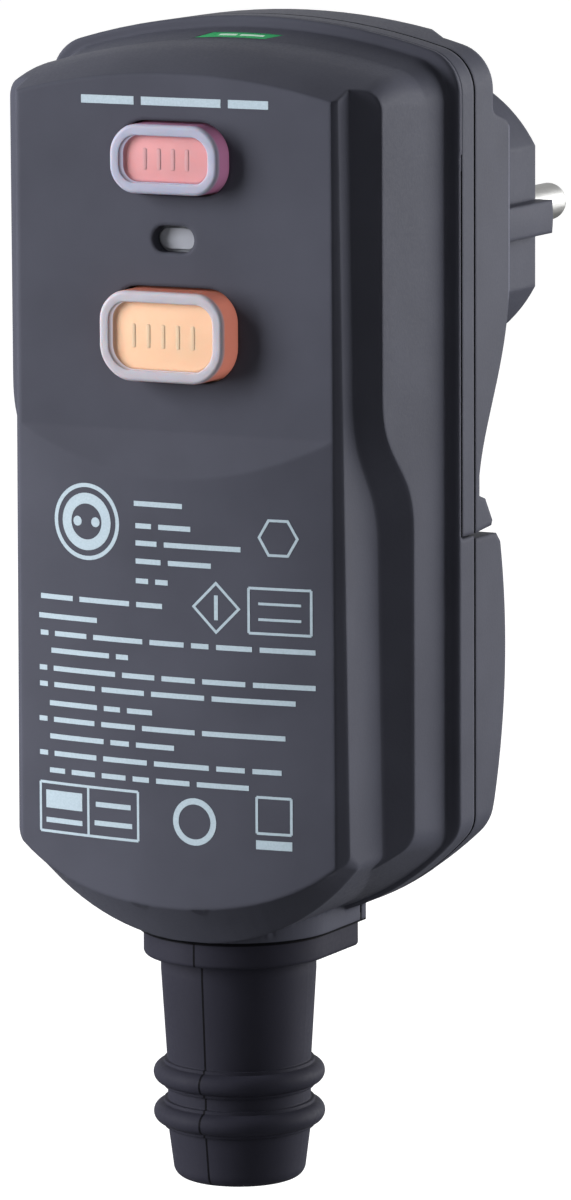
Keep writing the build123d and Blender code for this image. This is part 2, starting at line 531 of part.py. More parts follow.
def cover_profile():
    """Side view of the terminal cover, with a long shallow curve down its back."""
    top_z = NOTCH_Z - NOTCH_GAP
    upper_y, edge = COVER_Y - 1.4, 1.2
    thin_y, thin_z = THIN_Y + 0.1, COVER_LOW_Z - 8.6
    back = ThreePointArc((upper_y, top_z - edge), (COVER_Y, -51.0), (COVER_LOW_Y, COVER_LOW_Z))
    turn = Bezier((COVER_LOW_Y, COVER_LOW_Z), (COVER_LOW_Y - 0.7, COVER_LOW_Z - 2.4),
                  (thin_y + 1.7, thin_z + 3.4), (thin_y, thin_z))
    rest = Polyline((thin_y, thin_z), (thin_y - 0.4, -90.0), (SEAM_Y, -90.0), (SEAM_Y, top_z),
                    (upper_y - edge, top_z), (upper_y, top_z - edge))
    return make_face([back, turn, rest])


def terminal_cover():
    body = side_profile(cover_profile(), 40) & slab(rim(), -20, SEAM_Y)
    top_z = NOTCH_Z - NOTCH_GAP - WALL - 1.0
    body -= slab(rim(2 * WALL), COVER_ROOM_Y, SEAM_Y) & below(top_z) & above(COVER_ROOM_Z)
    for x, z in COVER_SCREWS:
        body += rod(x, z, BOSS_RADIUS, BOSS_BACK_Y, SEAM_Y) & side_profile(cover_profile(), 40)
        body -= rod(x, z, SCREW_RADIUS, 0, SLIT_Y - 4)
        body -= rod(x, z, SCREW_HEAD_RADIUS + SEAT, 0, SCREW_BACK_Y - SCREW_HEAD)
    return body + bar(-NECK_RADIUS, NECK_RADIUS, SEAM_Y, NECK_LIP_Y, BOTTOM_Z, BOTTOM_Z + 4)


def pin(side):
    """One plug pin with a rounded tip, a shoulder behind its carrier and a tail."""
    x = side * PIN_SPACING / 2
    body = rod(x, 0, PIN_RADIUS, PIN_LENGTH, 0)
    body = fillet(body.edges().sort_by(Axis.Y)[-1], 1.6)
    body += rod(x, 0, PIN_SHANK_RADIUS, 0, PIN_SHOULDER_Y)
    body += rod(x, 0, PIN_SHOULDER_RADIUS, PIN_SHOULDER_Y, PIN_SHOULDER_Y - 2.0)
    return body + rod(x, 0, PIN_TAIL_RADIUS, PIN_SHOULDER_Y - 2.0, PIN_TAIL_Y)


def pin_carrier():
    """Insulating cup that holds the pins inside the plug."""
    body = rod(0, 0, CARRIER_RADIUS, CARRIER_FRONT_Y, CARRIER_BACK_Y)
    body += rod(0, 0, CARRIER_FLANGE, CARRIER_SEAT_Y, CARRIER_BACK_Y)
    body -= rod(0, 0, CARRIER_INNER, PIN_SHOULDER_Y, -30)
    for side in (-1, 1):
        body -= rod(side * PIN_SPACING / 2, 0, PIN_RADIUS, 0, -30)
        body -= rod(side * PIN_SPACING / 2, 0, PIN_SHOULDER_RADIUS, PIN_SHOULDER_Y, -30)
        low, high = sorted((side * 11.0, side * 20))
        body -= bar(-CLIP_WIDTH / 2 - FIT, CLIP_WIDTH / 2 + FIT, -30.0, CARRIER_SEAT_Y + 1, low, high)
    return body


def earth_clip(side):
    """Earth contact: a strip bowed out of its slot in the plug, with a foot inside."""
    outer = ThreePointArc((-0.8, 15.2), (-9.5, 16.9), (-18.2, 15.4))
    band = trace(outer + Line((-18.2, 15.4), (-22.2, 14.6)), CLIP_THICK)
    strip = side_profile(band, CLIP_WIDTH / 2)
    foot = bar(-CLIP_WIDTH / 2, CLIP_WIDTH / 2, CLIP_FOOT_Y, CLIP_FOOT_Y + 0.6, 12.3, 15.0)
    body = strip + foot
    return body if side > 0 else mirror(body, about=Plane.XY)


def earth_strap():
    """Strap that joins the two earth contacts behind the carrier and runs to the middle terminal."""
    half = STRIP_WIDTH / 2
    body = side_profile(trace(strap_path(), STRIP_THICK), half)
    return body + bar(-half, half, CLIP_FOOT_Y - STRIP_THICK, CLIP_FOOT_Y, -13.0, 14.6)


def bent_strip(points, radius, x0, x1):
    """A strip of sheet metal bent along a side view and cut between two widths."""
    band = trace(FilletPolyline(*points, radius=radius), STRIP_THICK)
    return Pos((x0 + x1) / 2, 0, 0) * side_profile(band, (x1 - x0) / 2)


def fixed_contact_y():
    """Depth of the face that the moving contacts meet when the carriage is fully forward."""
    return BRIDGE_FRONT_Y - CONTACT_HEIGHT - CARRIAGE_TRAVEL - CONTACT_GAP


def busbar():
    """Busbar from the right-hand pin to its fixed contact."""
    contact_y = fixed_contact_y() - CONTACT_HEIGHT
    x0, x1 = POLE_X - STRIP_WIDTH / 2, POLE_X + STRIP_WIDTH / 2
    plate_y = contact_y - STRIP_THICK / 2
    body = bent_strip([(PIN_TAIL_Y - 0.4, 0), (plate_y, 0), (plate_y, -6.6)], 1.0, x0, x1)
    body += bar(PIN_SPACING / 2 - 2.4, x1, PIN_TAIL_Y - STRIP_THICK, PIN_TAIL_Y, -2.4, 2.4)
    return body + rod(POLE_X, CONTACT_UPPER_Z, CONTACT_RADIUS, fixed_contact_y(), contact_y)


def supply_contact():
    """Fixed contact that stands on the circuit board."""
    contact_y = fixed_contact_y() - CONTACT_HEIGHT
    x0, x1 = POLE_X - STRIP_WIDTH / 2, POLE_X + STRIP_WIDTH / 2
    low, high = CONTACT_LOWER_Z - 2.6, CONTACT_LOWER_Z + 1.6
    body = bar(x0, x1, contact_y - STRIP_THICK, contact_y, low, high)
    body += bar(x0, x1, BOARD_BACK_Y, contact_y - STRIP_THICK, low, low + STRIP_THICK)
    return body + rod(POLE_X, CONTACT_LOWER_Z, CONTACT_RADIUS, fixed_contact_y(), contact_y)


def contact_bridge():
    """Moving bridge that joins the two fixed contacts of a pole."""
    half = STRIP_WIDTH / 2 - 0.1
    body = bar(POLE_X - half, POLE_X + half, BRIDGE_FRONT_Y, BRIDGE_FRONT_Y + STRIP_THICK,
               CONTACT_LOWER_Z - 2.0, CONTACT_UPPER_Z + 1.8)
    for z in (CONTACT_LOWER_Z, CONTACT_UPPER_Z):
        body += rod(POLE_X, z, CONTACT_RADIUS, BRIDGE_FRONT_Y, BRIDGE_FRONT_Y - CONTACT_HEIGHT)
    return body


def contact_carriage():
    """Moulded carriage that slides on two guide posts and carries a bridge on each arm."""
    low, high = RESET_Z - CARRIAGE_HEIGHT / 2, RESET_Z + CARRIAGE_HEIGHT / 2
    body = bar(-CARRIAGE_HALF, CARRIAGE_HALF, CARRIAGE_FRONT_Y, CARRIAGE_BACK_Y, low, high)
    arm_front, arm_end = BRIDGE_FRONT_Y + STRIP_THICK, POLE_X + STRIP_WIDTH / 2 - 0.1
    arm = bar(CARRIAGE_HALF - 1, arm_end, arm_front, CARRIAGE_BACK_Y, RESET_Z - 2, RESET_Z + 2)
    for piece in mirrored(arm):
        body += piece
    body -= rod(0, RESET_Z, STEM_RADIUS + STEM_CLEARANCE, 0, -60)
    for x in (-GUIDE_X, GUIDE_X):
        body -= rod(x, RESET_Z, GUIDE_RADIUS + FIT, 0, -60)
    return body


def latch_plate():
    """Sliding plate with a slot for the reset stem and a hook round the plunger's neck."""
    hook_low = LATCH_TOP_Z - 1.0
    slot_width = 2 * (STEM_RADIUS + STEM_CLEARANCE)
    neck = NECK_PIN_RADIUS + FIT
    body = bar(-LATCH_HALF, LATCH_HALF, LATCH_FRONT_Y, LATCH_BACK_Y, RESET_Z - 6.0, LATCH_TOP_Z)
    slot = Pos(0, RESET_Z) * SlotOverall(slot_width + 2 * LATCH_TRAVEL, slot_width, rotation=90)
    body -= slab(slot, 0, -70)
    body += bar(-LATCH_HALF, LATCH_HALF, LATCH_FRONT_Y, COIL_Y + 2.4, hook_low, LATCH_TOP_Z)
    body -= upright(0, COIL_Y, hook_low - 1, LATCH_TOP_Z + 1, neck)
    body -= bar(-neck, neck, COIL_Y, -40, hook_low - 1, LATCH_TOP_Z + 1)
    return body


def trip_plunger():
    """Steel plunger of the trip coil, with a neck that the latch plate hooks on."""
    neck_top, neck_low = LATCH_TOP_Z + 0.8, LATCH_TOP_Z - 1.8
    body = upright(0, COIL_Y, neck_top, PLUNGER_END_Z, PLUNGER_RADIUS)
    body += upright(0, COIL_Y, neck_low, neck_top, NECK_PIN_RADIUS)
    return body + upright(0, COIL_Y, neck_low - 1.0, neck_low, PLUNGER_RADIUS)


def trip_bobbin():
    bore = PLUNGER_RADIUS + FIT
    body = upright(0, COIL_Y, COIL_Z0, COIL_Z1, bore + BOBBIN_WALL)
    for low in (COIL_Z0, COIL_Z1 - 1):
        body += upright(0, COIL_Y, low, low + 1, COIL_RADIUS)
    return body - upright(0, COIL_Y, COIL_Z0 - 1, COIL_Z1 + 1, bore)


def trip_winding():
    ring = upright(0, COIL_Y, COIL_Z0 + 1, COIL_Z1 - 1, COIL_RADIUS - 0.4)
    return ring - upright(0, COIL_Y, COIL_Z0, COIL_Z1, PLUNGER_RADIUS + FIT + BOBBIN_WALL)


def trip_yoke():
    """Steel frame round the trip coil; it stands on the circuit board."""
    body = bar(-6.4, 6.4, BOARD_BACK_Y, COIL_Y + 4.6, COIL_Z0 - 1, COIL_Z1 + 1)
    body -= bar(-5.2, 5.2, BOARD_BACK_Y + 1.2, 0, COIL_Z0, COIL_Z1)
    return body - upright(0, COIL_Y, COIL_Z0 - 2, COIL_Z0 + 1, PLUNGER_RADIUS + FIT)


def coil_spring(radius, wire, turns, length):
    """A coil spring along Z from the origin, as one swept wire."""
    pitch = (length - 2 * wire) / turns
    path = Helix(pitch=pitch, height=length - 2 * wire, radius=radius)
    section = Plane(origin=path @ 0, z_dir=path % 0) * Circle(wire)
    return Pos(0, 0, wire) * sweep(section, path=path)


def along_y(solid, x, y, z):
    """Turn a piece that stands along Z to lie along Y, from depth y towards the wall."""
    return Pos(x, y, z) * Rot(-90, 0, 0) * solid


def plunger_spring():
    """Spring that pushes the plunger out of the coil, between its inner end and the yoke."""
    return Pos(0, COIL_Y, PLUNGER_END_Z) * coil_spring(1.5, 0.25, 3, COIL_Z1 - PLUNGER_END_Z)


def opening_spring(x):
    """Spring round a guide post that pushes the carriage away from the board."""
    spring = coil_spring(GUIDE_RADIUS + 0.35, 0.2, 4, CARRIAGE_FRONT_Y - BOARD_BACK_Y)
    return along_y(spring, x, BOARD_BACK_Y, RESET_Z)


def return_spring(radius, z):
    """Spring behind a button, between its flange and the circuit board."""
    return along_y(coil_spring(radius, 0.25, 3, BOARD_FRONT_Y - KEY_BACK_Y), 0, KEY_BACK_Y, z)


def button_key(shape, width, height, z, proud, stem_end=None):
    """Coloured key of a button, flush with its clear rim, with a flange behind the panel."""
    body = slab(shape(-BUTTON_RIM), KEY_FRONT_Y, PANEL_Y - proud)
    plate = Pos(0, z) * Rectangle(width + 2.4, height + 2.0)
    body += slab(plate, KEY_BACK_Y, KEY_FRONT_Y)
    if stem_end is not None:
        body += rod(0, z, STEM_RADIUS, stem_end, KEY_BACK_Y)
    return body


def button_rim(shape, proud):
    """Clear rim round a key, with a rounded front edge."""
    body = slab(shape(), KEY_FRONT_Y, PANEL_Y - proud)
    body = fillet(body.faces().sort_by(Axis.Y)[0].edges(), 0.5)
    return body - slab(shape(-BUTTON_RIM), KEY_FRONT_Y + 1, PANEL_Y - proud - 1)


def indicator_lens():
    body = slab(lens_shape(), PANEL_BACK_Y, PANEL_Y + LENS_RECESS + 0.5)
    body += slab(lens_shape(-LENS_RIM), PANEL_BACK_Y, PANEL_Y + LENS_RECESS)
    return body + slab(lens_shape(0.8), PANEL_BACK_Y + 1.0, PANEL_BACK_Y)


def indicator_led():
    dome = rod(0, LENS_Z, 1.5, BOARD_FRONT_Y, BOARD_FRONT_Y - 2.6)
    return dome + rod(0, LENS_Z, 1.9, BOARD_FRONT_Y, BOARD_FRONT_Y - 0.8)


def test_switch():
    """Push contact under the test button, which the button just reaches at the end of its travel."""
    tip_y = KEY_BACK_Y + TEST_TRAVEL + 0.2
    switch = bar(-2, 2, tip_y + 0.3, BOARD_FRONT_Y, TEST_Z - 2, TEST_Z + 2)
    return switch + rod(0, TEST_Z, 1.0, tip_y + 0.3, tip_y)


def circuit_board():
    body = bar(-BOARD_HALF, BOARD_HALF, BOARD_FRONT_Y, BOARD_BACK_Y, BOARD_BOTTOM_Z, BOARD_TOP_Z)
    body -= rod(0, RESET_Z, STEM_RADIUS + STEM_CLEARANCE, 0, -70)
    for x, z in BOARD_SCREWS:
        body -= rod(x, z, BOARD_SCREW_RADIUS + SEAT, 0, -70)
    return body


def sensor_core():
    ring = rod(0, SENSOR_Z, SENSOR_RADIUS - 1.2, SENSOR_BACK_Y - 1.2, SENSOR_FRONT_Y + 1.2)
    return ring - rod(0, SENSOR_Z, SENSOR_BORE + 1.0, 0, -70)


def sensor_winding():
    """Insulated winding round the sensor core, on four feet that stand on the board."""
    ring = rod(0, SENSOR_Z, SENSOR_RADIUS, SENSOR_BACK_Y, SENSOR_FRONT_Y)
    ring -= rod(0, SENSOR_Z, SENSOR_BORE, 0, -70)
    for x, z in ((-5, -5), (5, -5), (-5, 5), (5, 5)):
        foot_z = SENSOR_Z + z
        ring += bar(x - 0.5, x + 0.5, BOARD_BACK_Y, SENSOR_FRONT_Y + 0.5, foot_z - 0.5, foot_z + 0.5)
    return ring - sensor_core()


def line_wire():
    """Insulated conductor from the board, through the sensor, to the right-hand terminal."""
    run_y = SENSOR_BACK_Y + 2.0
    points = [(1.8, BOARD_BACK_Y, SENSOR_Z), (1.8, run_y, SENSOR_Z), (5.4, run_y, PARTITION_Z0 - 0.6),
              (TERMINAL_PITCH, run_y, TERMINAL_Z1 + 4), (TERMINAL_PITCH, run_y, TERMINAL_Z1)]
    path = FilletPolyline(*points, radius=[2.4, 2.4, 2.4])
    return sweep(Plane(origin=path @ 0, z_dir=path % 0) * Circle(WIRE_RADIUS), path=path)


def terminal_block():
    """Moulded bar with a pocket for each of the three terminals."""
    half = HALF_WIDTH - 2 * WALL - 1.2
    body = bar(-half, half, CHAMBER_FRONT_Y, TERMINAL_FRONT_Y, TERMINAL_Z0 - 0.4, TERMINAL_Z1 + 0.4)
    for x in (-TERMINAL_PITCH / 2, TERMINAL_PITCH / 2):
        body += bar(x - 0.8, x + 0.8, TERMINAL_FRONT_Y, TERMINAL_BACK_Y + 1.3, TERMINAL_Z0, TERMINAL_Z1)
    return body


def terminal(x):
    """Brass terminal with a way for the wire and a threaded hole for its screw."""
    wire_y = TERMINAL_FRONT_Y + 2.1
    body = bar(x - 4.0, x + 4.0, TERMINAL_FRONT_Y, TERMINAL_BACK_Y, TERMINAL_Z0, TERMINAL_Z1)
    body -= upright(x, wire_y, TERMINAL_Z0 - 1, TERMINAL_Z0 + 6, 1.6)
    return body - rod(x, TERMINAL_SCREW_Z, SCREW_RADIUS, TERMINAL_BACK_Y + 1, wire_y)


def screw(x, z, length, head_back_y=SCREW_BACK_Y, radius=SCREW_RADIUS, head=SCREW_HEAD_RADIUS):
    """Screw driven from the back, with a cross slot in its head."""
    under_head = head_back_y - SCREW_HEAD
    cross = Rectangle(SCREW_SLOT_WIDTH, SCREW_SLOT_LENGTH) + Rectangle(SCREW_SLOT_LENGTH, SCREW_SLOT_WIDTH)
    body = rod(x, z, head, head_back_y, under_head)
    body -= slab(Pos(x, z) * cross, head_back_y + 1, head_back_y - SCREW_SLOT_DEPTH)
    return body + rod(x, z, radius, under_head, under_head - length)


def board_screw(x, z):
    return screw(x, z, 4.4, BOARD_BACK_Y + SCREW_HEAD, BOARD_SCREW_RADIUS, BOARD_SCREW_HEAD)


def terminal_screw(x):
    return screw(x, TERMINAL_SCREW_Z, 3.2, TERMINAL_BACK_Y + SCREW_HEAD + 0.2)


def clamp_screw(x, z):
    return screw(x, z, 8.0, CLAMP_BACK_Y + SCREW_HEAD, CLAMP_SCREW_RADIUS, CLAMP_SCREW_HEAD)


def cable_clamp():
    """Saddle that presses the cable against two posts."""
    body = bar(-12.2, 12.2, CLAMP_FRONT_Y, CLAMP_BACK_Y, CLAMP_Z - 2.4, CLAMP_Z + 2.4)
    body -= upright(0, CABLE_Y, -80, -60, CABLE_BORE)
    for x, z in CLAMP_SCREWS:
        body -= rod(x, z, CLAMP_SCREW_RADIUS, 0, -60)
    return body


def gland_boot():
    """Rubber boot: a D-shaped flange, a ribbed taper, and a waist and collar inside the neck."""
    half = BOOT_FLANGE_RADIUS
    flange = Pos(0, CABLE_Y) * Circle(half) & Pos(0, CABLE_Y - half) * Rectangle(2 * half, 2 * half)
    flange += Pos(0, CABLE_Y + BOOT_FLANGE_BACK / 2) * Rectangle(2 * half, BOOT_FLANGE_BACK)
    corners = flange.vertices().sort_by(Axis.Y)[-2:]
    flange = fillet(corners, 1.2)
    flange_low = BOTTOM_Z - BOOT_FLANGE_THICK
    body = Pos(0, 0, flange_low) * extrude(flange, amount=BOOT_FLANGE_THICK)
    body = fillet(body.faces().sort_by(Axis.Z)[0].edges(), 0.5)
    end_round = 1.6
    collar_top = FLOOR_Z + BOOT_COLLAR_THICK
    shape = Polyline((CABLE_BORE, collar_top), (BOOT_COLLAR_RADIUS, collar_top),
                     (BOOT_COLLAR_RADIUS, FLOOR_Z), (BOOT_WAIST_RADIUS, FLOOR_Z),
                     (BOOT_WAIST_RADIUS, flange_low + 1), (BOOT_RADIUS_TOP, flange_low + 1),
                     (BOOT_RADIUS_TOP, flange_low - 2.0), (BOOT_RADIUS_UPPER, BOOT_UPPER_Z),
                     (BOOT_RADIUS_LOWER, BOOT_LOWER_Z), (BOOT_RADIUS_END, BOOT_END_Z),
                     (CABLE_BORE, BOOT_END_Z), close=True)
    face = make_face(Plane.XZ * shape)
    end = face.vertices().sort_by(Axis.Z)[:2].sort_by(Axis.X)[-1]
    face = fillet(end, end_round)
    for z in BOOT_RIB_Z:
        centre = BOOT_RIB_RADIUS - 1.3
        face += Plane.XZ * (Pos(centre, z) * Circle(1.3))
        face += Plane.XZ * (Pos(centre - 1.6, z) * Rectangle(3.2, 3.4))
    turned = Pos(0, CABLE_Y, 0) * revolve(face, Axis.Z)
    return body + turned - upright(0, CABLE_Y, BOOT_END_Z - 1, 0, CABLE_BORE)


def small_parts():
    """Components of the control circuit, on the two faces of the board."""
    capacitor = fillet(bar(-BOARD_HALF + 1.0, -10.5, BOARD_BACK_Y, BOARD_BACK_Y + 4.2, -31.5, -20.0).edges(), 0.5)
    varistor = bar(13.0, 16.0, BOARD_BACK_Y, BOARD_BACK_Y + 4.4, -28.0, -20.0)
    varistor = fillet(varistor.edges().filter_by(Axis.X), 1.8)
    chip = bar(-5.0, 5.0, BOARD_FRONT_Y - 1.6, BOARD_FRONT_Y, -34.0, -28.0)
    resistors = []
    for x in (-12.0, -7.0, 7.0, 12.0):
        body = upright(x, BOARD_FRONT_Y - 1.0, -47.0, -41.0, 1.0)
        resistors.append(fillet(body.edges(), 0.4))
    return {"capacitor": capacitor, "varistor": varistor, "control_chip": chip,
            "resistors": Compound(resistors)}


def parts():
    test_key = button_key(test_shape, TEST_WIDTH, TEST_HEIGHT, TEST_Z, TEST_PROUD)
    reset_key = button_key(reset_shape, RESET_WIDTH, RESET_HEIGHT, RESET_Z, RESET_PROUD, STEM_END_Y)
    pieces = {
        "front_housing": front_housing(),
        "mid_frame": mid_frame(),
        "rear_housing": rear_housing(),
        "terminal_cover": terminal_cover(),
        "housing_gasket": housing_gasket(),
        "cover_gasket": cover_gasket(),
        "top_inlay": top_inlay(),
        "test_button": test_key,
        "test_rim": button_rim(test_shape, TEST_PROUD),
        "test_spring": return_spring(3.3, TEST_Z),
        "button_seals": Compound([seal(test_shape), seal(reset_shape)]),
        "test_switch": test_switch(),
        "reset_button": reset_key,
        "reset_rim": button_rim(reset_shape, RESET_PROUD),
        "reset_spring": return_spring(3.6, RESET_Z),
        "indicator_lens": indicator_lens(),
        "indicator_led": indicator_led(),
        "circuit_board": circuit_board(),
        "board_screws": Compound([board_screw(x, z) for x, z in BOARD_SCREWS]),
        "sensor_core": sensor_core(),
        "sensor_winding": sensor_winding(),
        "line_wires": Compound(mirrored(line_wire())),
        "trip_bobbin": trip_bobbin(),
        "trip_winding": trip_winding(),
        "trip_yoke": trip_yoke(),
        "trip_plunger": trip_plunger(),
        "plunger_spring": plunger_spring(),
        "latch_plate": latch_plate(),
        "contact_carriage": contact_carriage(),
        "contact_bridges": Compound(mirrored(contact_bridge())),
        "opening_springs": Compound([opening_spring(x) for x in (-GUIDE_X, GUIDE_X)]),
        "supply_contacts": Compound(mirrored(supply_contact())),
        "live_pin": pin(1),
        "neutral_pin": pin(-1),
        "pin_carrier": pin_carrier(),
        "live_busbar": busbar(),
        "neutral_busbar": mirror(busbar(), about=Plane.YZ),
        "earth_clip_top": earth_clip(1),
        "earth_clip_bottom": earth_clip(-1),
        "earth_strap": earth_strap(),
        "terminal_block": terminal_block(),
        "terminals": Compound([terminal(x) for x in TERMINAL_X]),
        "terminal_screws": Compound([terminal_screw(x) for x in TERMINAL_X]),
        "cable_clamp": cable_clamp(),
        "clamp_screws": Compound([clamp_screw(x, z) for x, z in CLAMP_SCREWS]),
        "housing_screws": Compound([screw(x, z, HOUSING_SCREW_LENGTH) for x, z in HOUSING_SCREWS]),
        "cover_screws": Compound([screw(x, z, COVER_SCREW_LENGTH) for x, z in COVER_SCREWS]),
        "gland_boot": gland_boot(),
    }
    pieces.update(small_parts())
    return pieces


os.makedirs("parts", exist_ok=True)
for name, solid in parts().items():
    export_step(solid, f"parts/{name}.step")
    print(name, len(solid.solids()), "solid", round(solid.volume, 1))
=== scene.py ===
import json
import math

import bpy
from mathutils import Matrix, Vector

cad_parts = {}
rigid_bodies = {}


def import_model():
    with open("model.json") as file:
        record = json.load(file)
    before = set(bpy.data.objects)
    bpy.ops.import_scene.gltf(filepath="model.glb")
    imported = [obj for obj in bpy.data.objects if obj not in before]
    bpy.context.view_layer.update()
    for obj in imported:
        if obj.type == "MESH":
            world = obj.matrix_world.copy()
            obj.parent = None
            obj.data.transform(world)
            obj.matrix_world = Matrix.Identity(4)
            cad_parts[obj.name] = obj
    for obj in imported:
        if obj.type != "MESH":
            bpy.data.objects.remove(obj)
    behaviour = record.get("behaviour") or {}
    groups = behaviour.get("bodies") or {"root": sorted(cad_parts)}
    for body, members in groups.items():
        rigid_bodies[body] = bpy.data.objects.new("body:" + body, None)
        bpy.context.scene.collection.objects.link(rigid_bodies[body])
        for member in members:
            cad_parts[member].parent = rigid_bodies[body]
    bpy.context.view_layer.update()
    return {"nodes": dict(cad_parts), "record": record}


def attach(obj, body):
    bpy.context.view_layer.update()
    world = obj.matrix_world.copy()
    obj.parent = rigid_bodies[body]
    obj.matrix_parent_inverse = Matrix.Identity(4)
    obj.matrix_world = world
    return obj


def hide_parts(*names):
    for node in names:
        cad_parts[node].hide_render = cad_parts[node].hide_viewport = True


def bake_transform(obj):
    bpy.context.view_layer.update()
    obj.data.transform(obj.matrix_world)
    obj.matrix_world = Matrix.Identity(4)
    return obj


# Residual current device plug. Lengths are in metres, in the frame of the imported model: X to the
# right of the front panel, Y along the pins to the wall, Z up, away from the cable.

MM = 0.001
PANEL_Y = -67.05 * MM            # flat upper panel
SLIT_Y = -45.95 * MM             # joint between front housing and middle frame
SEAM_Y = -42.35 * MM             # joint between middle frame and rear housing
PAD_EDGE_Y = -32.72 * MM         # edge of the pad behind the plug
BOOT_AXIS_Y = -51.4 * MM
NECK_END_Z = -83.8 * MM          # where the boot's flange meets the housing
TEST_Z = 12.25 * MM              # centres of the two buttons
RESET_Z = -8.9 * MM
TEST_PROUD = 2.5 * MM            # how far each rim stands in front of the panel
RESET_PROUD = 3.5 * MM
KEY_BACK_Y = -63.3 * MM          # back of the keys, where their springs push
KEY_RECESS = 0.8 * MM            # the coloured key lies this far behind the front of its rim
FLOOR_Z = -0.19
PRINT_HEIGHT = 0.03 * MM         # front of the printed ink before the panel

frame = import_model()
nodes = frame["nodes"]


# Finishes

class Finish:
    """A material with its shader and the object coordinates that its patterns read."""

    def __init__(self, name, colour, roughness, **settings):
        self.material = bpy.data.materials.new(name)
        self.material.use_nodes = True
        self.tree = self.material.node_tree
        self.shader = self.tree.nodes["Principled BSDF"]
        self.place = self.tree.nodes.new("ShaderNodeTexCoord").outputs["Object"]
        self.shader.inputs["Base Color"].default_value = (*colour, 1)
        self.shader.inputs["Roughness"].default_value = roughness
        for label, value in settings.items():
            self.shader.inputs[label.replace("_", " ")].default_value = value
        self.colour = colour
        self.base = None
        self.bumps = None

    def node(self, kind, **values):
        made = self.tree.nodes.new(kind)
        for label, value in values.items():
            made.inputs[label.replace("_", " ")].default_value = value
        return made

    def join(self, source, target):
        self.tree.links.new(source, target)

    def noise(self, size, detail=2.0, stretch=(1, 1, 1)):
        """Soft noise whose features are about size across."""
        mapping = self.node("ShaderNodeMapping", Scale=stretch)
        texture = self.node("ShaderNodeTexNoise", Scale=1 / size, Detail=detail)
        self.join(self.place, mapping.inputs["Vector"])
        self.join(mapping.outputs["Vector"], texture.inputs["Vector"])
        return texture.outputs["Fac"]

    def ramp(self, value, low, high, out_low, out_high):
        """Map a value from one range to another."""
        made = self.node("ShaderNodeMapRange")
        ends = {"From Min": low, "From Max": high, "To Min": out_low, "To Max": out_high}
        for label, number in ends.items():
            made.inputs[label].default_value = number
        self.join(value, made.inputs["Value"])
        return made.outputs["Result"]

    def tint(self, value, darker, lighter):
        """Vary the colour between a darker and a lighter shade of itself."""
        mix = self.tree.nodes.new("ShaderNodeMix")
        mix.data_type = "RGBA"
        mix.inputs["A"].default_value = (*[c * darker for c in self.colour], 1)
        mix.inputs["B"].default_value = (*[min(1, c * lighter) for c in self.colour], 1)
        self.join(value, mix.inputs["Factor"])
        self.base = mix.outputs["Result"]
        self.join(self.base, self.shader.inputs["Base Color"])
        return mix

    def near(self, axis, place, reach):
        """One where a coordinate is within reach of a place, otherwise zero."""
        split = self.tree.nodes.new("ShaderNodeSeparateXYZ")
        self.join(self.place, split.inputs["Vector"])
        made = self.tree.nodes.new("ShaderNodeMath")
        made.operation = "COMPARE"
        self.join(split.outputs[axis], made.inputs[0])
        made.inputs[1].default_value, made.inputs[2].default_value = place, reach
        return made.outputs["Value"]

    def product(self, first, second):
        made = self.tree.nodes.new("ShaderNodeMath")
        made.operation = "MULTIPLY"
        self.join(first, made.inputs[0])
        self.join(second, made.inputs[1])
        return made.outputs["Value"]

    def blend(self, value, socket, colour):
        """Go from a colour socket to a fixed colour as the value rises from zero to one."""
        mix = self.tree.nodes.new("ShaderNodeMix")
        mix.data_type = "RGBA"
        self.join(socket, mix.inputs["A"])
        mix.inputs["B"].default_value = (*colour, 1)
        self.join(value, mix.inputs["Factor"])
        return mix.outputs["Result"]

    def darken(self, masks, shade):
        """Multiply the colour by a shade where all the masks are one."""
        product = masks[0]
        for mask in masks[1:]:
            product = self.product(product, mask)
        mix = self.tree.nodes.new("ShaderNodeMix")
        mix.data_type = "RGBA"
        mix.blend_type = "MULTIPLY"
        self.join(self.base, mix.inputs["A"])
        mix.inputs["B"].default_value = (shade, shade, shade, 1)
        self.join(product, mix.inputs["Factor"])
        self.base = mix.outputs["Result"]
        self.join(self.base, self.shader.inputs["Base Color"])

    def bump(self, value, height, strength=1.0):
        """Add relief of a height in metres on top of what is there."""
        made = self.node("ShaderNodeBump", Strength=strength, Distance=height)
        self.join(value, made.inputs["Height"])
        if self.bumps is not None:
            self.join(self.bumps, made.inputs["Normal"])
        self.bumps = made.outputs["Normal"]
        self.join(self.bumps, self.shader.inputs["Normal"])

    def soften(self, radius):
        """Round the shading of sharp edges, as a mould leaves them."""
        made = self.node("ShaderNodeBevel", Radius=radius)
        made.samples = 6
        if self.bumps is not None:
            self.join(self.bumps, made.inputs["Normal"])
        self.bumps = made.outputs["Normal"]
        self.join(self.bumps, self.shader.inputs["Normal"])

    def roughen(self, value, low, high):
        self.join(self.ramp(value, 0.3, 0.7, low, high), self.shader.inputs["Roughness"])


def moulded_plastic(name, colour, roughness=0.5, grain=0.35, grain_height=0.012, edge=0.35 * MM,
                    gloss=0.02):
    """Injection-moulded plastic with a fine spark-eroded grain."""
    finish = Finish(name, colour, roughness, Specular_IOR_Level=gloss)
    finish.soften(edge)
    cloud = finish.noise(14 * MM, 3)
    fine = finish.noise(grain * MM, 2)
    mix = finish.tint(finish.ramp(cloud, 0.3, 0.7, 0, 1), 0.92, 1.1)
    mix.inputs["Factor"].default_value = 0.5
    finish.bump(fine, grain_height * MM)
    finish.roughen(fine, roughness - 0.06, roughness + 0.06)
    return finish


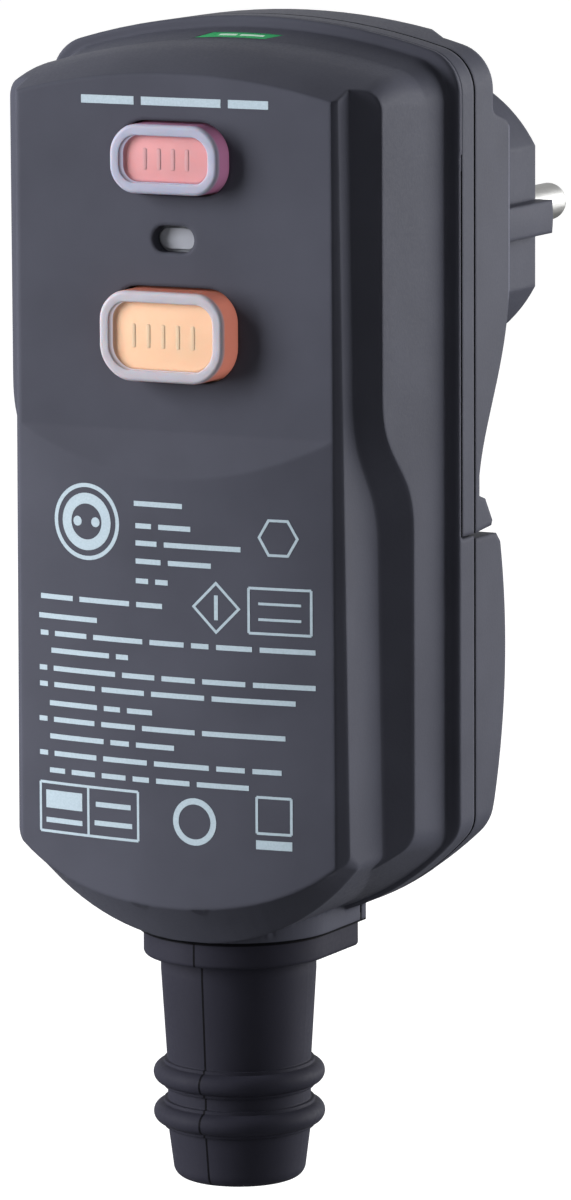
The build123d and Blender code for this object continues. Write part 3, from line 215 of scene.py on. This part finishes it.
def housing_plastic():
    """Charcoal plastic, dark along its joints, with a painted highlight along the edge of the pad at the
    back.
    """
    finish = moulded_plastic("housing_plastic", (0.055, 0.057, 0.074), edge=0.8 * MM)
    finish.darken([finish.near("Y", SEAM_Y, 0.2 * MM)], 0.06)
    finish.darken([finish.near("Y", SLIT_Y, 0.2 * MM), finish.near("Z", -12.2 * MM, 22.2 * MM)], 0.06)
    finish.darken([finish.near("Z", NECK_END_Z, 0.22 * MM), finish.near("Y", BOOT_AXIS_Y, 13 * MM)], 0.1)
    # Painted highlight: a thin band along the pad's edge is made 2.2 times brighter, standing for the light
    # its rounded edge catches.
    finish.darken([finish.near("Y", PAD_EDGE_Y, 0.09 * MM), finish.near("Z", 0, 15.6 * MM)], 2.2)
    return finish


def soft_rubber(name, colour, roughness=0.62):
    """Moulded rubber, matt, with faint mottling."""
    return moulded_plastic(name, colour, roughness, 0.5, 0.01, gloss=0.04)


def boot_rubber():
    """Black rubber with the parting line of its mould down the front."""
    finish = soft_rubber("boot_rubber", (0.02, 0.02, 0.029))
    finish.darken([finish.near("X", 0, 0.14 * MM), finish.near("Y", -65 * MM, 12 * MM)], 0.15)
    finish.darken([finish.near("Z", NECK_END_Z, 0.3 * MM)], 0.2)
    return finish


def key_plastic(name, colour):
    """Smooth coloured plastic that lets a little light in."""
    finish = Finish(name, colour, 0.5, Specular_IOR_Level=0.12)
    finish.shader.inputs["Subsurface Weight"].default_value = 0.35
    finish.shader.inputs["Subsurface Radius"].default_value = (1.0, 0.4, 0.3)
    finish.shader.inputs["Subsurface Scale"].default_value = 1.2 * MM
    finish.tint(finish.noise(3 * MM, 3), 0.95, 1.06)
    finish.bump(finish.noise(0.6 * MM), 0.004 * MM)
    return finish


def rim_plastic(name, milky, glow, front_y, centre_z, inner_x, inner_z):
    """Milky clear plastic: the key's colour shows through its sides, with a painted glow: the inner wall
    gives off pale light and the sides give off light in the key's colour, more towards the right.
    """
    finish = Finish(name, milky, 0.42, Specular_IOR_Level=0.12)
    finish.shader.inputs["Subsurface Weight"].default_value = 0.3
    finish.shader.inputs["Subsurface Scale"].default_value = 1.0 * MM
    split = finish.tree.nodes.new("ShaderNodeSeparateXYZ")
    finish.join(finish.place, split.inputs["Vector"])
    depth = finish.ramp(split.outputs["Y"], front_y + 0.15 * MM, front_y + 0.8 * MM, 0, 1)
    inner = finish.product(finish.near("X", 0, inner_x), finish.near("Z", centre_z, inner_z))
    outer = finish.ramp(inner, 0, 1, 1, 0)
    # Painted light: the glow on the rim's sides rises from the left side to the right side.
    glow_towards_right = finish.ramp(split.outputs["X"], 5 * MM, 7.5 * MM, 0.12, 0.8)
    milk = finish.tint(finish.noise(2 * MM, 3), 0.95, 1.05).outputs["Result"]
    colour = finish.blend(finish.product(depth, outer), milk, glow)
    finish.join(colour, finish.shader.inputs["Base Color"])
    # Painted glow: emission, pale on the inner wall and in the key's colour on the sides, with strength 0.9
    # on the inner wall and rising to the right on the sides.
    finish.join(finish.blend(inner, colour, milky), finish.shader.inputs["Emission Color"])
    painted_side_glow = finish.product(depth, finish.product(outer, glow_towards_right))
    painted_glow_strength = finish.tree.nodes.new("ShaderNodeMath")
    painted_glow_strength.operation = "MULTIPLY_ADD"
    finish.join(finish.product(depth, inner), painted_glow_strength.inputs[0])
    painted_glow_strength.inputs[1].default_value = 0.9
    finish.join(painted_side_glow, painted_glow_strength.inputs[2])
    finish.join(painted_glow_strength.outputs["Value"], finish.shader.inputs["Emission Strength"])
    return finish


def clear_plastic(name, colour, roughness, transmission):
    """Milky or smoked see-through plastic."""
    finish = Finish(name, colour, roughness, Transmission_Weight=transmission, IOR=1.46)
    finish.tint(finish.noise(2 * MM, 3), 0.96, 1.04)
    finish.bump(finish.noise(0.8 * MM), 0.004 * MM)
    return finish


def plated_metal(name, colour, roughness=0.3, streak=(1, 1, 1)):
    """Plated or drawn metal with fine marks along one direction."""
    finish = Finish(name, colour, roughness, Metallic=1.0)
    marks = finish.noise(0.5 * MM, 4, streak)
    finish.tint(finish.noise(4 * MM, 3), 0.9, 1.05)
    finish.bump(marks, 0.004 * MM)
    finish.roughen(marks, roughness - 0.08, roughness + 0.1)
    return finish


def banded(name, colour, pitch, axis, metallic=0.0, roughness=0.4):
    """Wound wire or tape: fine bands across one direction."""
    finish = Finish(name, colour, roughness, Metallic=metallic)
    wave = finish.tree.nodes.new("ShaderNodeTexWave")
    wave.bands_direction = axis
    wave.inputs["Scale"].default_value = math.pi / (10 * pitch)
    finish.join(finish.place, wave.inputs["Vector"])
    finish.tint(wave.outputs["Fac"], 0.55, 1.1)
    finish.bump(wave.outputs["Fac"], 0.06 * MM)
    return finish


def circuit_laminate():
    """Green board with faint tracks under the lacquer."""
    finish = Finish("circuit_laminate", (0.03, 0.16, 0.06), 0.35)
    brick = finish.node("ShaderNodeTexBrick", Scale=1 / (6 * MM), Mortar_Size=0.04)
    brick.inputs["Color1"].default_value = (0.03, 0.16, 0.06, 1)
    brick.inputs["Color2"].default_value = (0.035, 0.19, 0.07, 1)
    brick.inputs["Mortar"].default_value = (0.06, 0.3, 0.1, 1)
    mapping = finish.node("ShaderNodeMapping", Rotation=(math.pi / 2, 0, 0))
    finish.join(finish.place, mapping.inputs["Vector"])
    finish.join(mapping.outputs["Vector"], brick.inputs["Vector"])
    finish.join(brick.outputs["Color"], finish.shader.inputs["Base Color"])
    return finish


def strip_plastic():
    """Green plastic with two pale bars printed along it."""
    finish = moulded_plastic("green_strip", (0.02, 0.3, 0.1), 0.3, 0.8, 0.002)
    row = finish.near("Y", -49.85 * MM, 0.32 * MM)
    for x, reach in ((-1.5 * MM, 1.2 * MM), (1.8 * MM, 1.6 * MM)):
        bar = finish.product(row, finish.near("X", x, reach))
        finish.base = finish.blend(bar, finish.base, (0.5, 0.66, 0.56))
    finish.join(finish.base, finish.shader.inputs["Base Color"])
    return finish


def printed_ink():
    """Pale blue-grey pad print with a slightly broken surface."""
    finish = Finish("printed_ink", (0.34, 0.42, 0.48), 0.6, Specular_IOR_Level=0.2)
    finish.tint(finish.noise(0.25 * MM, 3), 0.8, 1.12)
    return finish


FINISHES = {
    "housing_plastic": housing_plastic(),
    "seal_rubber": soft_rubber("seal_rubber", (0.03, 0.03, 0.03)),
    "green_strip": strip_plastic(),
    "pink_key": key_plastic("pink_key", (0.56, 0.255, 0.265)),
    "orange_key": key_plastic("orange_key", (0.7, 0.44, 0.29)),
    "smoked_lens": clear_plastic("smoked_lens", (0.29, 0.3, 0.34), 0.2, 0.1),
    "led_resin": clear_plastic("led_resin", (0.8, 0.06, 0.05), 0.15, 0.7),
    "black_moulding": moulded_plastic("black_moulding", (0.02, 0.02, 0.02), 0.45),
    "white_nylon": moulded_plastic("white_nylon", (0.72, 0.71, 0.66), 0.45),
    "board_laminate": circuit_laminate(),
    "screw_steel": plated_metal("screw_steel", (0.42, 0.42, 0.41), 0.38),
    "spring_steel": plated_metal("spring_steel", (0.5, 0.5, 0.5), 0.28),
    "nickel_plate": plated_metal("nickel_plate", (0.22, 0.22, 0.215), 0.5, (1, 0.2, 1)),
    "contact_copper": plated_metal("contact_copper", (0.78, 0.42, 0.26), 0.32),
    "brass_metal": plated_metal("brass_metal", (0.75, 0.58, 0.25), 0.3),
    "copper_wire": banded("copper_wire", (0.6, 0.25, 0.1), 0.3 * MM, "Z", 0.8),
    "ferrite": moulded_plastic("ferrite", (0.03, 0.03, 0.035), 0.6),
    "winding_tape": banded("winding_tape", (0.7, 0.5, 0.1), 1.2 * MM, "X"),
    "wire_insulation": moulded_plastic("wire_insulation", (0.05, 0.14, 0.5), 0.4),
    "boot_rubber": boot_rubber(),
    "yellow_film": moulded_plastic("yellow_film", (0.75, 0.5, 0.05), 0.3),
    "blue_coating": moulded_plastic("blue_coating", (0.05, 0.15, 0.5), 0.3),
    "tan_coating": banded("tan_coating", (0.6, 0.42, 0.24), 1.5 * MM, "Z"),
}
RIMS = {
    "test_rim": rim_plastic("test_rim", (0.31, 0.32, 0.41), (0.25, 0.1, 0.18), PANEL_Y - TEST_PROUD,
                            TEST_Z, 6.0 * MM, 2.85 * MM),
    "reset_rim": rim_plastic("reset_rim", (0.37, 0.355, 0.4), (0.42, 0.14, 0.1), PANEL_Y - RESET_PROUD,
                             RESET_Z, 7.05 * MM, 4.12 * MM),
}
INK = printed_ink()


def dress_nodes():
    """Give every carried-over piece its finish."""
    for subpart in frame["record"]["subparts"]:
        piece = nodes[subpart["node"]]
        finish = RIMS.get(subpart["node"]) or FINISHES[subpart["material_slot"]]
        piece.data.materials.clear()
        piece.data.materials.append(finish.material)


# Modelling helpers

def subpart_slot(node):
    """The finish that the record names for a node."""
    return next(s["material_slot"] for s in frame["record"]["subparts"] if s["node"] == node)


def deselect():
    if bpy.context.object and bpy.context.object.mode != "OBJECT":
        bpy.ops.object.mode_set(mode="OBJECT")
    bpy.ops.object.select_all(action="DESELECT")


def settle(piece, name, finish, body="housing"):
    """Name a finished piece, put its place in its mesh, and let it ride on its body if it has one."""
    deselect()
    piece.select_set(True)
    bpy.context.view_layer.objects.active = piece
    bpy.ops.object.transform_apply(location=True, rotation=True, scale=True)
    piece.name = name
    piece.data.materials.clear()
    piece.data.materials.append(finish.material)
    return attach(piece, body) if body else piece


def join(pieces):
    """Join several pieces into one object."""
    deselect()
    for piece in pieces:
        piece.select_set(True)
    bpy.context.view_layer.objects.active = pieces[0]
    bpy.ops.object.join()
    return pieces[0]


def apply_modifiers(piece):
    deselect()
    piece.select_set(True)
    bpy.context.view_layer.objects.active = piece
    for modifier in list(piece.modifiers):
        bpy.ops.object.modifier_apply(modifier=modifier.name)


def pick_edges(piece, wanted):
    """Select the edges of a piece whose ends pass a test, and leave it open for editing."""
    deselect()
    piece.select_set(True)
    bpy.context.view_layer.objects.active = piece
    bpy.ops.object.mode_set(mode="EDIT")
    bpy.ops.mesh.select_mode(type="EDGE")
    bpy.ops.mesh.select_all(action="DESELECT")
    bpy.ops.object.mode_set(mode="OBJECT")
    points = piece.data.vertices
    for edge in piece.data.edges:
        edge.select = wanted(*(points[i].co for i in edge.vertices))
    bpy.ops.object.mode_set(mode="EDIT")


def rounded_block(x, z, width, height, front_y, back_y, corner, soft_edge):
    """A block with round corners seen from the front, and a soft edge round its front face."""
    deselect()
    bpy.ops.mesh.primitive_cube_add(size=1, location=(x, (front_y + back_y) / 2, z))
    block = bpy.context.object
    block.scale = (width, back_y - front_y, height)
    bpy.ops.object.transform_apply(location=True, rotation=False, scale=True)
    for side in (1, -1):
        pick_edges(block, lambda a, b: abs(a.y - b.y) > 1e-5 and (a.z - z) * side > 0.35 * height
                   and (b.z - z) * side > 0.35 * height and abs(a.x - x) > 0.45 * width)
        bpy.ops.mesh.bevel(offset=corner, segments=10, affect="EDGES")
        bpy.ops.object.mode_set(mode="OBJECT")
    pick_edges(block, lambda a, b: a.y < front_y + 1e-6 and b.y < front_y + 1e-6)
    bpy.ops.mesh.bevel(offset=soft_edge, segments=4, affect="EDGES")
    bpy.ops.object.mode_set(mode="OBJECT")
    bpy.ops.object.shade_smooth_by_angle(angle=math.radians(40))
    return block


def merged_copy(node, flat_angle=0.5):
    """A merged copy of a CAD node, ready to be shaped."""
    deselect()
    piece = nodes[node].copy()
    piece.data = nodes[node].data.copy()
    bpy.context.scene.collection.objects.link(piece)
    piece.hide_set(False)
    piece.select_set(True)
    bpy.context.view_layer.objects.active = piece
    bpy.ops.object.mode_set(mode="EDIT")
    bpy.ops.mesh.select_all(action="SELECT")
    bpy.ops.mesh.remove_doubles(threshold=1e-6)
    if flat_angle:
        bpy.ops.mesh.dissolve_limited(angle_limit=math.radians(flat_angle))
    bpy.ops.object.mode_set(mode="OBJECT")
    return piece


def round_edges(piece, width):
    """Round off the sharp edges of a piece."""
    bevel = piece.modifiers.new("edges", "BEVEL")
    bevel.width, bevel.segments, bevel.limit_method, bevel.angle_limit = width, 3, "ANGLE", math.radians(50)
    apply_modifiers(piece)
    bpy.ops.object.shade_smooth_by_angle(angle=math.radians(35))


def weigh_normals(piece):
    """Keep broad flat faces flat, and let the narrow faces between them carry the turn."""
    weighted = piece.modifiers.new("normals", "WEIGHTED_NORMAL")
    weighted.mode, weighted.weight, weighted.keep_sharp = "FACE_AREA", 100, True
    apply_modifiers(piece)


# Buttons

def button(kind, z, proud, ribs, rib_height, rib_pitch):
    """A milky rim with a coloured key set a little way into it, and small raised ribs on the key."""
    rim_node, key_node = kind + "_rim", kind + "_button"
    rim = merged_copy(rim_node)
    round_edges(rim, 0.15 * MM)
    settle(rim, kind + "_rim_cap", RIMS[rim_node], key_node)
    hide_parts(rim_node)
    rim_front = PANEL_Y - proud
    front_y = rim_front + KEY_RECESS
    key = merged_copy(key_node)
    pick_edges(key, lambda a, b: max(a.y, b.y) < rim_front + 0.05 * MM)
    bpy.ops.transform.translate(value=(0, KEY_RECESS, 0))
    bpy.ops.mesh.bevel(offset=0.4 * MM, segments=4, affect="EDGES")
    bpy.ops.object.mode_set(mode="OBJECT")
    bpy.ops.object.shade_smooth_by_angle(angle=math.radians(35))
    parts = [key]
    for i in range(ribs):
        x = (i - (ribs - 1) / 2) * rib_pitch
        parts.append(rounded_block(x, z, 0.55 * MM, rib_height, front_y - 0.05 * MM, front_y + 0.3 * MM,
                                   0.2 * MM, 0.1 * MM))
    slot = subpart_slot(key_node)
    cap = settle(join(parts), kind + "_key_cap", FINISHES[slot], key_node)
    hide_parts(key_node)


def buttons():
    button("test", TEST_Z, TEST_PROUD, 4, 2.6 * MM, 1.9 * MM)
    button("reset", RESET_Z, RESET_PROUD, 5, 2.9 * MM, 2.0 * MM)


# Springs

def springs():
    """Each spring becomes a smooth merged copy of its CAD node, in the same place and on no body."""
    for node, body, held, pushed in (
            ("test_spring", "test_button", (0, -60 * MM, TEST_Z), (0, KEY_BACK_Y, TEST_Z)),
            ("reset_spring", "reset_button", (0, -60 * MM, RESET_Z), (0, KEY_BACK_Y, RESET_Z)),
            ("opening_springs", "carriage", (0, -58.4 * MM, RESET_Z), (0, -53.4 * MM, RESET_Z)),
            ("plunger_spring", "plunger", (0, -52 * MM, 18.6 * MM), (0, -52 * MM, 15 * MM))):
        slot = subpart_slot(node)
        coil = merged_copy(node, flat_angle=0)
        bpy.ops.object.parent_clear(type="CLEAR_KEEP_TRANSFORM")
        bpy.ops.object.shade_smooth_by_angle(angle=math.radians(40))
        settle(coil, node + "_coil", FINISHES[slot], body=None)
        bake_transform(coil)
        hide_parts(node)


# Fuller top of the front housing

SHOULDER_BACK_Y = -51.5 * MM     # the fuller top runs out before the coloured strip
SHOULDER_LOW_Z = 9 * MM          # and starts above this height
SHOULDER_CUTS = (0.03, 0.08, 0.15, 0.24, 0.34, 0.45, 0.57, 0.7, 0.85, 1.0)
FLANGE_FRONT_Y = -46.65 * MM


def shoulder_faces(shell, lowest=SHOULDER_LOW_Z):
    """Select the outer faces of the sloping top and its two corners."""
    for face in shell.data.polygons:
        x, y, z = face.center
        sideways = face.normal.x * math.copysign(1, x) if abs(x) > 20 * MM else -1
        outwards = max(face.normal.z, sideways)
        face.select = z > lowest and PANEL_Y - 1e-6 < y < FLANGE_FRONT_Y and outwards > 0.1


def slice_shell(shell, place, direction, lowest=SHOULDER_LOW_Z):
    """Cut the outer faces of the top along a plane."""
    bpy.ops.object.mode_set(mode="EDIT")
    bpy.ops.mesh.select_mode(type="FACE")
    bpy.ops.mesh.select_all(action="DESELECT")
    bpy.ops.object.mode_set(mode="OBJECT")
    shoulder_faces(shell, lowest)
    bpy.ops.object.mode_set(mode="EDIT")
    bpy.ops.mesh.bisect(plane_co=place, plane_no=direction)
    bpy.ops.object.mode_set(mode="OBJECT")


def shaped_housing():
    """The front housing with the fuller, softer top of the real one."""
    shell = merged_copy("front_housing", flat_angle=0)
    length = SHOULDER_BACK_Y - PANEL_Y
    for height in (9, 10.5, 12, 13.5, 15, 16.5, 18, 19.5, 21):
        slice_shell(shell, (0, 0, height * MM), (0, 0, 1), -90 * MM)
    for cut in SHOULDER_CUTS:
        slice_shell(shell, (0, PANEL_Y + cut * length, 0), (0, 1, 0))
    shoulder_faces(shell)
    chosen = {i for face in shell.data.polygons if face.select for i in face.vertices}
    for i in chosen:
        point = shell.data.vertices[i].co
        t = (point.y - PANEL_Y) / length
        if t > 1:
            continue
        rise = (0.45 * (1 - t) + math.sin(math.pi * max(t, 0))) * MM
        fade = min(max((point.z - 10 * MM) / (8 * MM), 0), 1)
        weight = fade * fade * (3 - 2 * fade)
        point.z += rise * weight
    deselect()
    shell.select_set(True)
    bpy.context.view_layer.objects.active = shell
    bpy.ops.object.shade_smooth_by_angle(angle=math.radians(32))
    shoulder_faces(shell)
    for face in shell.data.polygons:
        face.use_smooth = face.select and face.center.y < SHOULDER_BACK_Y and face.normal.z > 0.12
    weigh_normals(shell)
    slot = subpart_slot("front_housing")
    settle(shell, "front_housing_shell", FINISHES[slot])
    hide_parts("front_housing")


# Print on the panel

PRINT_START_Y = PANEL_Y - 6 * MM     # flat print starts here and is pressed onto the panel


def print_plate(x, z, width, height):
    """A flat rectangle in front of the panel, cut across its width so that it can follow the crown."""
    deselect()
    bpy.ops.mesh.primitive_plane_add(size=1, location=(x, PRINT_START_Y, z), rotation=(math.pi / 2, 0, 0))
    plate = bpy.context.object
    plate.scale = (width, height, 1)
    bpy.ops.object.transform_apply(location=False, rotation=True, scale=True)
    pieces = round(width / (1.2 * MM))
    if pieces > 1:
        slice_plate(plate, pieces, width)
    return plate


def slice_plate(plate, pieces, width):
    """Cut a plate into strips with vertical planes."""
    bpy.ops.object.mode_set(mode="EDIT")
    for i in range(1, pieces):
        bpy.ops.mesh.select_all(action="SELECT")
        place = (plate.location.x + width * (i / pieces - 0.5), plate.location.y, plate.location.z)
        bpy.ops.mesh.bisect(plane_co=place, plane_no=(1, 0, 0))
    bpy.ops.object.mode_set(mode="OBJECT")


def print_line(x0, x1, z, height, words):
    """A row of bars that stands for a line of print, with a gap after each word."""
    gap = 1.0 * MM
    room = x1 - x0 - gap * (len(words) - 1)
    plates, x = [], x0
    for word in words:
        width = room * word / sum(words)
        plates.append(print_plate(x + width / 2, z, width, height))
        x += width + gap
    return plates


def print_polygon(x, z, corners, radius, line, turn=0.0, squeeze=1.0):
    """A closed outline with straight sides or, with many corners, a ring."""
    deselect()
    bpy.ops.mesh.primitive_circle_add(vertices=corners, radius=radius, fill_type="NGON",
                                      location=(x, PRINT_START_Y, z), rotation=(math.pi / 2, 0, 0))
    ring = bpy.context.object
    bpy.ops.object.transform_apply(location=False, rotation=True, scale=False)
    ring.rotation_euler = (0, turn, 0)
    bpy.ops.object.transform_apply(location=False, rotation=True, scale=False)
    ring.scale = (squeeze, 1, 1)
    bpy.ops.object.transform_apply(location=False, rotation=False, scale=True)
    if line:
        bpy.ops.object.mode_set(mode="EDIT")
        bpy.ops.mesh.select_all(action="SELECT")
        bpy.ops.mesh.inset(thickness=line)
        bpy.ops.mesh.delete(type="FACE")
        bpy.ops.object.mode_set(mode="OBJECT")
    return ring


def print_frame(x0, x1, z0, z1, line):
    """Four bars round a rectangle given in millimetres."""
    x, z = (x0 + x1) / 2 * MM, (z0 + z1) / 2 * MM
    width, height = (x1 - x0) * MM, (z1 - z0) * MM
    return [print_plate(x, z1 * MM, width, line), print_plate(x, z0 * MM, width, line),
            print_plate(x0 * MM, z, line, height), print_plate(x1 * MM, z, line, height)]


def lay_print(plates, name):
    """Press flat print onto the panel and give it the thickness of ink."""
    ink = join(plates)
    wrap = ink.modifiers.new("wrap", "SHRINKWRAP")
    wrap.target = nodes["front_housing"]
    wrap.wrap_method = "PROJECT"
    wrap.use_project_x = False
    wrap.use_project_y = True
    wrap.use_project_z = False
    wrap.use_positive_direction = True
    wrap.use_negative_direction = False
    wrap.offset = PRINT_HEIGHT
    layer = ink.modifiers.new("layer", "SOLIDIFY")
    layer.thickness, layer.offset = 0.9 * PRINT_HEIGHT, -1
    apply_modifiers(ink)
    return settle(ink, name, INK)


def panel_print():
    """Generic print in the places and at the scale of the real one, with no words on it."""
    heading = print_line(-12.4 * MM, 12.9 * MM, 19.0 * MM, 1.0 * MM, (4, 6, 3))
    lay_print(heading, "heading_print")

    # Each line of print: its left end, its right end and its height in mm, and its words' lengths
    bar = 0.62 * MM
    upper = ((-4.6, 2.0, -29.3, (1,)), (-4.4, 3.1, -32.0, (2, 4)), (-4.4, 9.7, -34.1, (2, 7)),
             (-4.4, 5.8, -36.3, (3, 5)), (-4.4, 0.0, -38.7, (1, 1)))
    lower = ((-18.3, -0.8, -41.6, (4, 6, 3)), (-18.6, -10.0, -44.0, (1,)),
             (-18.4, 19.1, -46.1, (1, 4, 6, 4, 2, 4, 6)), (-16.8, -5.6, -48.2, (5, 1)),
             (-18.6, 19.1, -50.4, (1, 8, 4, 4, 5, 7)), (-18.6, 16.6, -52.4, (1, 5, 5, 6, 9)),
             (-17.1, -2.3, -54.7, (6, 2, 3)), (-18.7, 15.3, -56.7, (1, 5, 4, 6, 9)),
             (-17.1, 0.7, -58.8, (6, 2, 4)), (-18.7, 14.8, -60.9, (1, 5, 5, 6, 3, 3)),
             (-17.2, 10.6, -63.0, (2, 3, 3, 2, 4, 6)))
    lines = []
    for x0, x1, z, words in upper + lower:
        lines += print_line(x0 * MM, x1 * MM, z * MM, bar, words)
    lay_print(lines, "panel_lines_print")

    thin = 0.32 * MM
    signs = [print_polygon(-11.4 * MM, -32.0 * MM, 48, 4.7 * MM, 0.5 * MM),
             print_polygon(-11.4 * MM, -32.0 * MM, 40, 3.5 * MM, 1.3 * MM),
             print_polygon(-12.7 * MM, -32.0 * MM, 16, 0.6 * MM, 0),
             print_polygon(-10.1 * MM, -32.0 * MM, 16, 0.6 * MM, 0),
             print_polygon(14.5 * MM, -32.5 * MM, 6, 2.6 * MM, thin, math.pi / 6),
             print_polygon(6.45 * MM, -41.3 * MM, 4, 3.2 * MM, thin, 0),
             print_plate(6.45 * MM, -41.3 * MM, 0.5 * MM, 3.0 * MM),
             print_plate(14.65 * MM, -40.5 * MM, 5.4 * MM, thin),
             print_plate(14.65 * MM, -42.4 * MM, 5.4 * MM, thin)]
    signs += print_frame(10.7, 18.6, -44.1, -38.65, thin)
    signs += print_frame(-18.65, -4.35, -70.6, -64.55, thin)
    signs += [print_plate(-11.5 * MM, -67.6 * MM, thin, 6.0 * MM),
              print_plate(-15.1 * MM, -66.6 * MM, 5.4 * MM, 2.2 * MM),
              print_plate(-15.1 * MM, -69.2 * MM, 5.4 * MM, bar),
              print_plate(-7.9 * MM, -66.6 * MM, 5.0 * MM, bar),
              print_plate(-7.9 * MM, -68.9 * MM, 5.4 * MM, bar),
              print_polygon(3.4 * MM, -67.6 * MM, 40, 2.9 * MM, 0.75 * MM),
              print_plate(13.8 * MM, -69.8 * MM, 4.6 * MM, 1.1 * MM)]
    signs += print_frame(11.6, 16.0, -68.4, -64.0, thin)
    lay_print(signs, "panel_signs_print")


# Studio

def photo_camera():
    """The camera of the photograph, with its turn, tilt, lean and lens."""
    azimuth, elevation, lean = math.radians(27.480), math.radians(8.789), math.radians(-0.2806)
    back = Vector((math.sin(azimuth) * math.cos(elevation), -math.cos(azimuth) * math.cos(elevation),
                   math.sin(elevation)))
    level = Vector((math.cos(azimuth), math.sin(azimuth), 0))
    above = back.cross(level)
    glow_towards_right = level * math.cos(lean) + above * math.sin(lean)
    up = above * math.cos(lean) - level * math.sin(lean)
    data = bpy.data.cameras.new("photo_camera")
    data.lens, data.sensor_width = 213.805, 36
    camera = bpy.data.objects.new("photo_camera", data)
    bpy.context.scene.collection.objects.link(camera)
    place = Matrix.Translation((0.40299, -0.81322, 0.09000))
    camera.matrix_world = place @ Matrix((glow_towards_right, up, back)).transposed().to_4x4()
    bpy.context.scene.camera = camera


def softbox(name, azimuth, elevation, distance, width, height, watts):
    """A rectangular lamp that faces the object from a direction given in degrees."""
    a, e = math.radians(azimuth), math.radians(elevation)
    back = Vector((math.sin(a) * math.cos(e), -math.cos(a) * math.cos(e), math.sin(e)))
    data = bpy.data.lights.new(name, "AREA")
    data.shape, data.size, data.size_y, data.energy = "RECTANGLE", width, height, watts
    lamp = bpy.data.objects.new(name, data)
    bpy.context.scene.collection.objects.link(lamp)
    lamp.location = Vector((0, -0.03, -0.04)) + back * distance
    lamp.rotation_mode = "QUATERNION"
    lamp.rotation_quaternion = back.to_track_quat("Z", "Y")


def studio_light():
    softbox("left_softbox", -55, 13, 1.1, 0.5, 0.9, 29)
    softbox("right_softbox", 138, 3, 1.1, 0.9, 0.9, 33)
    softbox("front_softbox", 48, 12, 1.3, 0.5, 0.7, 1.9)


def studio_world():
    """Soft grey fill, and a white background for what the camera, metal and glass see."""
    world = bpy.data.worlds.new("studio")
    world.use_nodes = True
    bpy.context.scene.world = world
    tree = world.node_tree
    background = tree.nodes["Background"]
    path = tree.nodes.new("ShaderNodeLightPath")
    seen = tree.nodes.new("ShaderNodeMath")
    seen.operation = "MAXIMUM"
    shown = tree.nodes.new("ShaderNodeMath")
    shown.operation = "MAXIMUM"
    strength = tree.nodes.new("ShaderNodeMapRange")
    strength.inputs["To Min"].default_value = 0.14
    strength.inputs["To Max"].default_value = 1.0
    tree.links.new(path.outputs["Is Camera Ray"], seen.inputs[0])
    tree.links.new(path.outputs["Is Glossy Ray"], seen.inputs[1])
    tree.links.new(seen.outputs[0], shown.inputs[0])
    tree.links.new(path.outputs["Is Transmission Ray"], shown.inputs[1])
    tree.links.new(shown.outputs[0], strength.inputs["Value"])
    tree.links.new(strength.outputs["Result"], background.inputs["Strength"])
    background.inputs["Color"].default_value = (1, 1, 1, 1)


def pale_floor():
    """A white floor that keeps the object's shadow."""
    deselect()
    bpy.ops.mesh.primitive_circle_add(vertices=96, radius=6, fill_type="NGON", location=(0, 0, FLOOR_Z))
    floor = bpy.context.object
    floor.name = "floor"
    finish = Finish("floor_white", (0.25, 0.25, 0.25), 0.8, Specular_IOR_Level=0.0)
    path = finish.tree.nodes.new("ShaderNodeLightPath")
    finish.shader.inputs["Emission Color"].default_value = (1, 1, 1, 1)
    seen = finish.ramp(path.outputs["Is Camera Ray"], 0, 1, 0, 0.97)
    finish.join(seen, finish.shader.inputs["Emission Strength"])
    floor.data.materials.append(finish.material)


dress_nodes()
buttons()
springs()
panel_print()
shaped_housing()
photo_camera()
studio_light()
studio_world()
pale_floor()
bpy.context.scene.view_settings.view_transform = "Standard"
